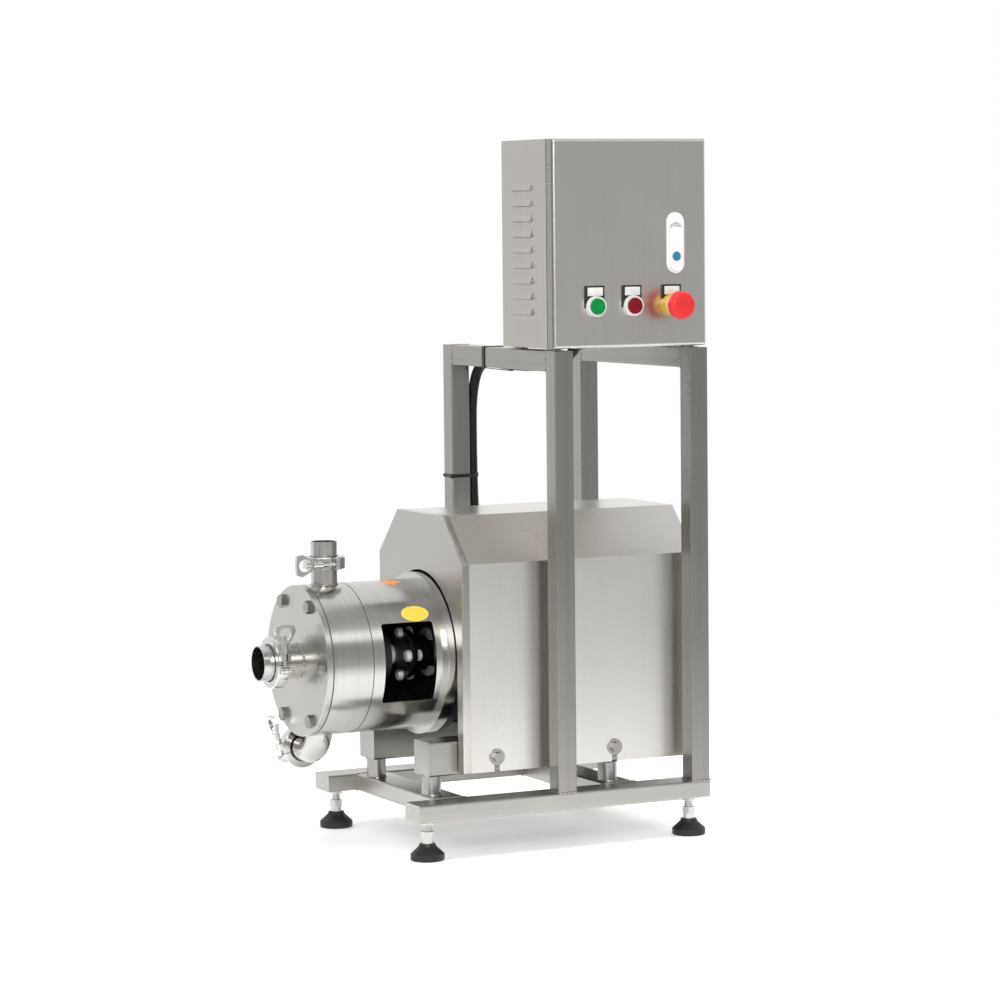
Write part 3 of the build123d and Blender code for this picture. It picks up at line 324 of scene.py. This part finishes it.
materials = {
    "steel_tube": metal("tube steel", (0.36, 0.35, 0.325), (0.46, 0.45, 0.425), (0.26, 0.40), "z"),
    "steel_sheet": metal(
        "sheet steel", (0.74, 0.725, 0.695), (0.80, 0.785, 0.76), (0.26, 0.36), "z", bump=0.06
    ),
    "turned_steel": metal("turned steel", (0.52, 0.51, 0.49), (0.63, 0.62, 0.60), (0.15, 0.26), "ring_x"),
    "polished_steel": metal(
        "polished steel", (0.62, 0.61, 0.59), (0.72, 0.71, 0.70), (0.10, 0.20), "all", bump=0.04
    ),
    "plated_steel": metal(
        "plated steel", (0.55, 0.54, 0.52), (0.66, 0.65, 0.63), (0.18, 0.32), "all", bump=0.04
    ),
    # Shaft steel is nearly white and barely metallic: a painted highlight that makes the shaft bright inside
    # the lantern
    "shaft_steel": metal(
        "shaft steel", (0.76, 0.75, 0.72), (0.86, 0.85, 0.82), (0.28, 0.4), "ring_x", metallic=0.25
    ),
    "bright_bearing": metal("bearing steel", (0.60, 0.59, 0.57), (0.70, 0.69, 0.68), (0.12, 0.2), "ring_x"),
    "latch_chrome": metal(
        "latch chrome", (0.88, 0.88, 0.89), (0.94, 0.94, 0.95), (0.22, 0.3), "all", bump=0.02, metallic=0.1
    ),
    "galvanised": metal(
        "galvanised", (0.45, 0.47, 0.48), (0.60, 0.62, 0.63), (0.35, 0.5), "all", smudges=30.0
    ),
    "black_rubber": solid("black rubber", (0.012, 0.012, 0.012), (0.35, 0.6), bump=0.15),
    "seal_rubber": solid("seal rubber", (0.35, 0.35, 0.34), (0.5, 0.7)),
    "black_steel": solid("black steel", (0.012, 0.012, 0.014), (0.3, 0.45), metallic=0.6),
    "motor_paint": solid("motor paint", (0.01, 0.035, 0.03), (0.35, 0.5), coat=0.3),
    "fan_plastic": solid("fan plastic", (0.02, 0.02, 0.02)),
    "black_plastic": solid("black plastic", (0.012, 0.012, 0.013), (0.35, 0.5)),
    "grey_plastic": solid("grey plastic", (0.62, 0.62, 0.60)),
    "green_plastic": solid("green plastic", (0.0, 0.25, 0.05), (0.35, 0.45), shine=0.2),
    "red_plastic": solid("red plastic", (0.20, 0.003, 0.010), (0.35, 0.45), shine=0.2),
    "bright_red_plastic": solid("bright red plastic", (0.74, 0.030, 0.030), (0.3, 0.42), shine=0.4),
    "white_plastic": solid("white plastic", (0.82, 0.82, 0.81), (0.25, 0.35)),
}
frame_steel = metal(
    "base steel", (0.42, 0.41, 0.385), (0.52, 0.51, 0.485), (0.26, 0.40), "x", cross=("y", 134.0)
)
portal_steel = metal(
    "portal steel", (0.30, 0.29, 0.27), (0.40, 0.39, 0.365), (0.24, 0.38), "z", cross=("y", 154.0)
)


def paint(obj, material):
    obj.data.materials.clear()
    obj.data.materials.append(material)


slots = {entry["node"]: entry["material_slot"] for entry in frame["record"]["subparts"]}
for name, cad in nodes.items():
    paint(cad, materials[slots[name]])
paint(nodes["base_frame"], frame_steel)
paint(nodes["upper_frame"], portal_steel)
paint(nodes["motor_rails"], metal("rail steel", (0.36, 0.35, 0.325), (0.46, 0.45, 0.425), (0.26, 0.40), "x"))
door_steel = metal(
    "door steel", (0.64, 0.625, 0.60), (0.70, 0.685, 0.66), (0.26, 0.36), "z", bump=0.05
)
paint(nodes["enclosure_door"], door_steel)
box_steel = metal(
    "box steel", (0.46, 0.44, 0.41), (0.52, 0.50, 0.47), (0.28, 0.38), "z", bump=0.05
)
paint(nodes["enclosure"], box_steel)
plate_steel = metal(
    "plate steel", (0.50, 0.49, 0.47), (0.58, 0.57, 0.55), (0.20, 0.32), "ring_x", bump=0.08
)
paint(nodes["front_plate"], plate_steel)
upright_steel = metal(
    "upright tube steel", (0.55, 0.54, 0.52), (0.66, 0.65, 0.63), (0.14, 0.24), "ring_z"
)
paint(nodes["outlet_ferrule"], upright_steel)

# Bevel widths in millimetres. The other pieces have half a millimetre
EDGE = {
    "motor_cover": 0.0, "enclosure": 0.0, "enclosure_door": 0.0, "conduit": 0.0,
    "casing": 0.0, "front_plate": 0.0, "fan_cowl": 0.0, "lantern": 0.8,
    "motor_housing": 0.6, "rotor": 0.3, "stator": 0.3, "gaskets": 0.2,
}
for name, cad in nodes.items():
    width = EDGE.get(name, 0.5)
    only(cad)
    bpy.ops.object.shade_smooth_by_angle(angle=math.radians(28))
    if width:
        bevel = cad.modifiers.new("soft edges", "BEVEL")
        bevel.width = width * MM
        bevel.segments = 2
        bevel.limit_method = "ANGLE"
        bevel.angle_limit = math.radians(40)
        bevel.use_clamp_overlap = True
        bevel.harden_normals = False


# Surfaces that depend on the place on a piece, such as painted shade inside the lantern
def masked(name, base, other, tests):
    """base where every test holds, else other. A test is (kind, low, high) in millimetres."""
    material = base.copy()
    material.name = name
    tree = material.node_tree
    surface = tree.nodes["Principled BSDF"]
    place = node(tree, "ShaderNodeTexCoord").outputs["Object"]
    parts = node(tree, "ShaderNodeSeparateXYZ", [(place, 0)])
    up = maths(tree, "SUBTRACT", parts.outputs["Z"], axis_z * MM)
    across = node(tree, "ShaderNodeCombineXYZ", [(parts.outputs["Y"], 1), (up, 2)])
    radius = node(tree, "ShaderNodeVectorMath", [(across.outputs[0], 0)], operation="LENGTH")
    height = maths(tree, "ABSOLUTE", up)
    sources = {"radius": radius.outputs["Value"], "x": parts.outputs["X"], "height": height}
    held = None
    for kind, low, high in tests:
        above = maths(tree, "GREATER_THAN", sources[kind], low * MM)
        below = maths(tree, "LESS_THAN", sources[kind], high * MM)
        both = maths(tree, "MULTIPLY", above, below)
        held = both if held is None else maths(tree, "MULTIPLY", held, both)
    colour, rough, metallic = other
    for socket, value in (("Base Color", (*colour, 1)), ("Roughness", rough), ("Metallic", metallic)):
        target = surface.inputs[socket]
        coloured = socket == "Base Color"
        mixer = node(tree, "ShaderNodeMix", [(held, 0)], data_type="RGBA" if coloured else "FLOAT")
        fails, holds, result = (6, 7, 2) if coloured else (2, 3, 0)
        if target.is_linked:
            tree.links.new(target.links[0].from_socket, mixer.inputs[holds])
        else:
            mixer.inputs[holds].default_value = target.default_value
        mixer.inputs[fails].default_value = value
        tree.links.new(mixer.outputs[result], target)
    return material


# Colour, roughness and metallic of the second surface of a masked material
# Near black, a painted shade: used inside the lantern within 102 mm of the axis and on the end shield round
# the coupling
black = ((0.010, 0.009, 0.009), 0.55, 0.0)
# Painted shade: the cover's front, ahead of the rim seam, is a darker copy of its sheet steel
cover_front_painted_shade = ((0.50, 0.485, 0.46), 0.32, 1.0)
# Painted shade: the door's left fold is a darker copy of the door steel
fold_painted_shade = ((0.34, 0.33, 0.31), 0.36, 1.0)
lantern_outside = [("radius", 102.0, 200.0)]
# Painted highlight: the end shield keeps bright shaft steel only in crescents above and below the axis, with
# painted shade elsewhere
shield_highlight_crescents = [("radius", 0.0, 36.0), ("height", 19.0, 60.0)]
door_left = min(corner[0] for corner in nodes["enclosure_door"].bound_box) / MM
door_front = [("x", door_left + 1.2, 400.0)]
cover_sides = [("x", cover_rim[1], 400.0)]
paint(nodes["lantern"], masked("lantern steel", materials["turned_steel"], black, lantern_outside))
paint(nodes["motor_flange"], masked("end shield", materials["shaft_steel"], black, shield_highlight_crescents))
paint(nodes["hub_pump"], solid("black hub", (0.014, 0.014, 0.015), (0.35, 0.5)))
paint(nodes["enclosure_door"], masked("folded door", door_steel, fold_painted_shade, door_front))
paint(nodes["motor_cover"], masked("cover steel", materials["steel_sheet"], cover_front_painted_shade, cover_sides))
paint(nodes["gaskets"], solid("plate seal", (0.10, 0.10, 0.10), (0.5, 0.7)))
for name in ("hex_bolts", "cover_bolts"):
    bolt_steel = metal(
        f"{name} steel", (0.30, 0.29, 0.27), (0.42, 0.41, 0.39), (0.16, 0.28), "all", bump=0.04
    )
    paint(nodes[name], bolt_steel)


# Weld beads, low rippled collars where tubes meet
def make_weld():
    material, tree, surface, place = start_material("weld bead")
    wave = node(tree, "ShaderNodeTexWave", [(place, "Vector")], bands_direction="DIAGONAL")
    for socket, value in (("Scale", 90.0), ("Distortion", 2.0), ("Detail", 1.0)):
        wave.inputs[socket].default_value = value
    ramp = node(tree, "ShaderNodeValToRGB", [(wave.outputs["Fac"], 0)])
    ramp.color_ramp.elements[0].color = (0.30, 0.27, 0.24, 1)
    ramp.color_ramp.elements[1].color = (0.55, 0.53, 0.50, 1)
    tree.links.new(ramp.outputs[0], surface.inputs["Base Color"])
    ripple = [(wave.outputs["Fac"], "Height")]
    lift = node(tree, "ShaderNodeBump", ripple, in_Strength=0.5, in_Distance=0.0006)
    tree.links.new(lift.outputs[0], surface.inputs["Normal"])
    surface.inputs["Metallic"].default_value = 1.0
    surface.inputs["Roughness"].default_value = 0.32
    return material


weld_steel = make_weld()
beads = []


def bead_block(x, y, half_x, half_y, low, high, bevel):
    beads.append(cube("bead", (x - half_x, y - half_y, low), (x + half_x, y + half_y, high), bevel))


for (x, y), (end_x, end_y) in zip(post_places, beam_ends):
    bead_block(x, y, 16.3, 16.3, 80.5, 83.6, 1.4)
    bead_block(end_x, end_y, 15.9, 1.4, 689.4, 721.2, 1.2)
for x, y in cross_tube_ends:
    bead_block(x, y, 26, 1.6, 55.6, 82.6, 1.4)
round_bead = [(-1.6, 13.5), (-1.4, 15.4), (0, 16.0), (1.4, 15.4), (1.6, 13.5)]
for x, y in rail_posts:
    for level in (81.5, 110.7):
        beads.append(turned("bead", "z", (x, y, level), round_bead, 32))
foot_bead = [(-1.6, 9.5), (-1.2, 11.4), (0, 12.0), (0.2, 9.0)]
for x, y in feet:
    beads.append(bored("bead", "z", (x, y, 56.2), foot_bead, 32))


def round_tube(name, major, minor, start, axis="z", major_segments=64, minor_segments=12):
    bpy.ops.mesh.primitive_torus_add(
        major_radius=major * MM,
        minor_radius=minor * MM,
        major_segments=major_segments,
        minor_segments=minor_segments,
    )
    obj = bpy.context.object
    obj.rotation_euler = TURN[axis]
    obj.location = [value * MM for value in start]
    return settle(obj, name)


# Beads where the inlet and outlet necks leave the plate and the casing
beads.append(round_tube("bead", 25.5, 1.6, (-343.0, 0, axis_z), "x"))
beads.append(round_tube("bead", 19.0, 1.6, (-298.5, 0, 385.6), "z"))
welds = join("weld_beads", beads)
paint(welds, weld_steel)
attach(welds, "frame")


# Front rim of the cover, a bent band ahead of the shell seam
def strip(name, start, end, x0, x1, lift, bevel):
    """A flat band between two outline corners, given as (y, z), proud of the sheet by lift."""
    along = Vector((0, end[0] - start[0], end[1] - start[1]))
    length = along.length
    bpy.ops.mesh.primitive_cube_add(size=1)
    obj = bpy.context.object
    obj.scale = ((x1 - x0) * MM, length * MM, 2 * lift * MM)
    obj.rotation_euler = (math.atan2(along.z, along.y), 0, 0)
    obj.location = ((x0 + x1) / 2 * MM, (start[0] + end[0]) / 2 * MM, (start[1] + end[1]) / 2 * MM)
    settle(obj, name, 0)
    modify(obj, "BEVEL", width=bevel * MM, segments=3)
    return settle(obj, name)


outline = [(139.5, 114.5), (139.5, 416.5), (75.5, 482.0), (-75.5, 482.0), (-139.5, 416.5), (-139.5, 114.5)]
bands = []
for first, second in zip(outline, outline[1:]):
    bands.append(strip("band", first, second, *cover_rim, 0.7, 0.6))
rim = join("cover_front_rim", bands)
paint(rim, metal("rim steel", (0.52, 0.50, 0.47), (0.60, 0.58, 0.55), (0.22, 0.32), "z"))
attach(rim, "cover")

# Legend holders with blank inserts
holders, inserts = [], []
for centre in (48.3, 109.1, 174.4):
    holders.append(cube("holder", (centre - 15.5, -190.6, 781.0), (centre + 15.5, -187.3, 813.0), 1.2, 3))
    inserts.append(cube("insert", (centre - 12.4, -191.1, 798.5), (centre + 12.4, -190.2, 810.5), 0.3))
holder = join("legend_holders", holders)
paint(holder, materials["black_plastic"])
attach(holder, "door")
insert = join("legend_inserts", inserts)
paint(insert, materials["white_plastic"])
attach(insert, "door")

# Yellow collar under the emergency stop, and the lever's round push spot
collar_steps = [(0, 14.9), (-17.5, 14.95), (-18.4, 14.2), (-18.45, 8.4)]
collar = turned("estop_collar", "y", (171.3, -187.4, 783.5), collar_steps)
paint(collar, solid("yellow plastic", (0.75, 0.42, 0.01), (0.3, 0.4)))
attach(collar, "door")
spot = turned("latch_push_spot", "y", (182.3, -190.8, 853.6), [(0, 6.8), (-0.7, 6.8), (-1.2, 6.2)], 48)
paint(spot, solid("blue plastic", (0.02, 0.22, 0.42), (0.15, 0.25), coat=0.5))
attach(spot, "latch_lever")


# Plain patches on the lantern. They start just outside it and are laid on its round wall
patch_reach = 112.5


def patch(name, half_x, half_t, x, angle, sides, colour):
    bpy.ops.mesh.primitive_circle_add(vertices=sides, radius=1.0, fill_type="NGON")
    obj = bpy.context.object
    bpy.ops.object.mode_set(mode="EDIT")
    bpy.ops.mesh.select_all(action="SELECT")
    bpy.ops.mesh.inset(thickness=0.45)
    bpy.ops.mesh.inset(thickness=0.3)
    bpy.ops.object.mode_set(mode="OBJECT")
    turn_by = math.radians(angle)
    normal = Vector((0, -math.cos(turn_by), math.sin(turn_by)))
    obj.scale = (half_x * MM, half_t * MM, 1.0)
    obj.rotation_euler = (math.pi / 2 - turn_by, 0, 0)
    obj.location = Vector((x, 0, axis_z)) * MM + normal * patch_reach * MM
    settle(obj, name, 0)
    modify(
        obj,
        "SHRINKWRAP",
        target=nodes["lantern"],
        wrap_method="PROJECT",
        use_negative_direction=True,
        use_positive_direction=True,
        offset=0.25 * MM,
    )
    modify(obj, "SOLIDIFY", thickness=0.2 * MM)
    settle(obj, name)
    paint(obj, solid(name, colour, (0.3, 0.4)))
    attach(obj, "frame")


patch("lantern_patch_oval", 21.5, 13.0, -194.5, 38.5, 64, (0.80, 0.62, 0.08))
patch("lantern_patch_top", 19.0, 15.0, -202.0, 81.0, 4, (0.85, 0.30, 0.05))

# Threads on the foot studs
for number, (x, y) in enumerate(feet, 1):
    rings = []
    for step in range(7):
        rings.append(round_tube("ring", 5.85, 0.4, (x, y, 42.0 + 1.35 * step), "z", 32, 6))
    thread = join(f"foot_thread_{number}", rings)
    paint(thread, materials["plated_steel"])
    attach(thread, f"foot_{number}")

# Conduit from the control box along the beam, down the post and under the cover
route = (
    (*box_hole, 800), (97.6, -57.1, 750), (88.9, -46.1, 708), (61, -10.7, 691.5), (25, 35, 692),
    (25, 166, 699), (23.7, 167, 520), (30, 166, 400), (60, 166, 290), (95, 166, 175),
    (200, 123.5, 175), (200, 121, 330), (135, 20, 422), (32, 20, 422),
)
bend = bpy.data.curves.new("conduit line", "CURVE")
bend.dimensions = "3D"
line = bend.splines.new("NURBS")
line.points.add(len(route) - 1)
for point, at in zip(line.points, route):
    point.co = (*(Vector(at) * MM), 1)
line.order_u = 3
line.use_endpoint_u = True
bend.resolution_u = 16
guide = bpy.data.objects.new("conduit line", bend)
bpy.context.scene.collection.objects.link(guide)
centre_line = bpy.data.meshes.new_from_object(guide)

one_rib = [(0, 7.0), (0.6, 7.9), (1.9, 7.9), (2.5, 7.0), (3.1, 7.0)]
rib = turned("conduit_ribs", "x", (0, 0, 0), one_rib, 16, 60)
modify(rib, "ARRAY", fit_type="FIT_CURVE", curve=guide, relative_offset_displace=(1, 0, 0))
modify(rib, "CURVE", object=guide, deform_axis="POS_X")
bpy.data.objects.remove(guide)
settle(rib, "conduit_ribs", 50)
paint(rib, materials["black_plastic"])
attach(rib, "frame")
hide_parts("conduit")


# Bushing in the box floor, gland at the motor and two cable ties round tube and conduit
def snug_tie(low, high, conduit_at, across):
    """A tie pulled tight round a square tube, given by its corners, and the conduit beside it."""
    middle = [(a + b) / 2 * MM for a, b in zip(low, high)]
    bpy.ops.mesh.primitive_cube_add(size=1, location=middle)
    tube = bpy.context.object
    tube.scale = [(b - a) * MM for a, b in zip(low, high)]
    settle(tube, "tie", 0)
    width = (high["xyz".index(across)] - low["xyz".index(across)]) * MM
    bpy.ops.mesh.primitive_cylinder_add(vertices=32, radius=8.2 * MM, depth=width)
    pipe = bpy.context.object
    pipe.rotation_euler = TURN[across]
    pipe.location = [value * MM for value in conduit_at]
    settle(pipe, "pipe", 0)
    tie = join("tie", [tube, pipe])
    bpy.ops.object.mode_set(mode="EDIT")
    bpy.ops.mesh.select_all(action="SELECT")
    bpy.ops.mesh.convex_hull()
    bpy.ops.mesh.normals_make_consistent(inside=False)
    bpy.ops.mesh.select_mode(type="FACE")
    bpy.ops.mesh.select_all(action="DESELECT")
    bpy.ops.object.mode_set(mode="OBJECT")
    for face in tie.data.polygons:
        face.select = abs(face.normal["xyz".index(across)]) > 0.9
    bpy.ops.object.mode_set(mode="EDIT")
    bpy.ops.mesh.delete(type="FACE")
    bpy.ops.mesh.select_mode(type="VERT")
    bpy.ops.object.mode_set(mode="OBJECT")
    modify(tie, "SOLIDIFY", thickness=1.3 * MM, offset=1.0)
    return settle(tie, "tie")


bushing_steps = [(718.0, 11.6), (718.0, 16), (720.2, 16.6), (725.2, 16.6), (728, 15), (728, 11.6)]
fittings = [
    bored("bushing", "z", (*box_hole, 0), bushing_steps),
    turned("gland nut", "x", gland, [(15.1, 12.0), (16, 13.6), (24, 13.6), (25, 12.4)], 6, 20),
    turned("gland cap", "x", gland, [(25, 11.6), (30, 11.2), (34, 9.6), (35, 8.4)], 32),
    snug_tie((-15.2, 41.0, 690.1), (15.2, 49.0, 720.5), (29.5, 45, 692.8), "y"),
    snug_tie((-15.2, 154.8, 518.4), (15.2, 185.2, 523.6), (23.9, 166.8, 521), "z"),
    cube("tie head", (-19.5, 150.5, 517.6), (-14.5, 156.5, 524.4), 0.8),
]
grips = join("conduit_grips", fittings)
paint(grips, materials["black_plastic"])
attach(grips, "frame")
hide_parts("conduit_fittings")

# Bushes on both ends of the coupling pins, painted nearly white and barely metallic as a painted highlight
front_bush = [(-177.6, 8.4), (-182.6, 8.4), (-184.8, 7.2), (-185.6, 4.6)]
rear_bush = [(-166.4, 8.4), (-161.6, 8.4), (-160.2, 7.0)]
bushes = []
for angle in range(0, 360, 90):
    y = pin_circle * math.cos(math.radians(angle))
    z = axis_z + pin_circle * math.sin(math.radians(angle))
    bushes.append(turned("bush", "x", (0, y, z), front_bush, 32))
    bushes.append(turned("bush", "x", (0, y, z), rear_bush, 32))
bush = join("coupling_bushes", bushes)
bush_painted_highlight = metal(
    "bush steel", (0.86, 0.85, 0.83), (0.94, 0.93, 0.91), (0.30, 0.42), "all", bump=0.04, metallic=0.1
)
paint(bush, bush_painted_highlight)
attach(bush, "drive")

# Thin dark seam line round the casing
seam_steps = [(-271.1, 108.0), (-271.1, 109.6), (-269.9, 109.6), (-269.9, 108.0)]
seam = bored("casing_seam", "x", (0, 0, axis_z), seam_steps, 128)
paint(seam, solid("seam shadow", (0.05, 0.05, 0.05), (0.5, 0.7)))
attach(seam, "frame")


# White studio: a white backdrop behind the object, a dim room on the camera's side. The floor
# keeps the shadow near the object and turns plain white further off
def facing_backdrop(tree, vector, low, high):
    """1 towards the backdrop and 0 towards the camera's side."""
    along = node(tree, "ShaderNodeVectorMath", [(vector, 0)], operation="DOT_PRODUCT")
    along.inputs[1].default_value = (look.x, look.y, 0)
    return mapped(tree, along.outputs["Value"], low, high, smooth=True)


def rays(tree, *names):
    ray = node(tree, "ShaderNodeLightPath")
    total = ray.outputs[names[0]]
    for name in names[1:]:
        total = maths(tree, "ADD", total, ray.outputs[name], clamp=True)
    return total


bpy.ops.mesh.primitive_plane_add(size=40, location=(0, 0, -0.0005))
floor = settle(bpy.context.object, "floor", 0)
floor_material, tree, surface, place = start_material("studio floor")
surface.inputs["Base Color"].default_value = (0.86, 0.86, 0.86, 1)
surface.inputs["Roughness"].default_value = 0.5
surface.inputs["Specular IOR Level"].default_value = 0.2
lift = node(tree, "ShaderNodeEmission", in_Strength=0.34)
near = node(tree, "ShaderNodeAddShader", [(surface.outputs[0], 0), (lift.outputs[0], 1)])
backdrop = facing_backdrop(tree, place, -0.2, 0.8)
straight = rays(tree, "Is Camera Ray", "Is Transmission Ray")
away = node(tree, "ShaderNodeVectorMath", [(place, 0)], operation="LENGTH").outputs["Value"]
lit = mapped(tree, away, 1.0, 3.0, 1.0, 0.5, smooth=True)
strength = maths(tree, "MAXIMUM", straight, maths(tree, "MAXIMUM", lit, backdrop))
far = node(tree, "ShaderNodeEmission", [(strength, "Strength")])
fade = mapped(tree, away, 0.55, 1.5, smooth=True)
shown = node(tree, "ShaderNodeMixShader", [(fade, 0), (near.outputs[0], 1), (far.outputs[0], 2)])
seen = rays(tree, "Is Camera Ray", "Is Transmission Ray", "Is Glossy Ray")
top = node(tree, "ShaderNodeMixShader", [(seen, 0), (surface.outputs[0], 1), (shown.outputs[0], 2)])
tree.links.new(top.outputs[0], tree.nodes["Material Output"].inputs["Surface"])
paint(floor, floor_material)

world = bpy.data.worlds.new("studio")
bpy.context.scene.world = world
world.use_nodes = True
tree = world.node_tree
tree.nodes.clear()
out = node(tree, "ShaderNodeOutputWorld")
place = node(tree, "ShaderNodeTexCoord").outputs["Generated"]
parts = node(tree, "ShaderNodeSeparateXYZ", [(place, 0)])
ramp = node(tree, "ShaderNodeValToRGB", [(mapped(tree, parts.outputs["Z"], -0.1, 1.0), 0)])
ramp.color_ramp.elements[0].color = (0.35, 0.345, 0.335, 1)
ramp.color_ramp.elements[1].color = (1.0, 1.0, 1.0, 1)
# What metal mirrors of the room, from below the horizon to overhead: two bright bands in grey
bands_above = (
    (0.14, 0.30), (0.34, 0.22), (0.50, 0.25), (0.56, 1.0),
    (0.66, 1.0), (0.72, 0.34), (0.92, 0.27), (0.97, 1.0),
)
for stop, tone in bands_above:
    ramp.color_ramp.elements.new(stop).color = (tone, 0.99 * tone, 0.97 * tone, 1)
room = node(tree, "ShaderNodeBackground", [(ramp.outputs[0], 0)], in_Strength=1.6)
white = node(tree, "ShaderNodeBackground", in_Strength=1.0)
white.inputs["Color"].default_value = (1, 1, 1, 1)
mirrored = maths(tree, "MULTIPLY", rays(tree, "Is Glossy Ray"), facing_backdrop(tree, place, -0.1, 0.5))
straight = rays(tree, "Is Camera Ray", "Is Transmission Ray")
seen = maths(tree, "ADD", straight, mirrored, clamp=True)
mix = node(tree, "ShaderNodeMixShader", [(seen, 0), (room.outputs[0], 1), (white.outputs[0], 2)])
tree.links.new(mix.outputs[0], out.inputs[0])


def lamp(name, at, target, size, power, tint=(1, 1, 1), mirrored=True):
    data = bpy.data.lights.new(name, "AREA")
    data.shape = "RECTANGLE"
    data.size, data.size_y = size
    data.energy = power
    data.color = tint
    obj = bpy.data.objects.new(name, data)
    bpy.context.scene.collection.objects.link(obj)
    obj.visible_glossy = mirrored
    obj.location = at
    obj.rotation_euler = (Vector(target) - Vector(at)).to_track_quat("-Z", "Y").to_euler()


lamp("top light", (0.2, -0.5, 3.3), (0, 0, 0.4), (3.2, 1.6), 60, mirrored=False)
lamp("left light", (-3.2, -0.6, 1.6), (0, 0, 0.5), (1.6, 2.4), 22, mirrored=False)
lamp("front light", (-1.6, -3.6, 2.0), (0, 0, 0.5), (1.6, 1.6), 46, (1.0, 0.985, 0.96))
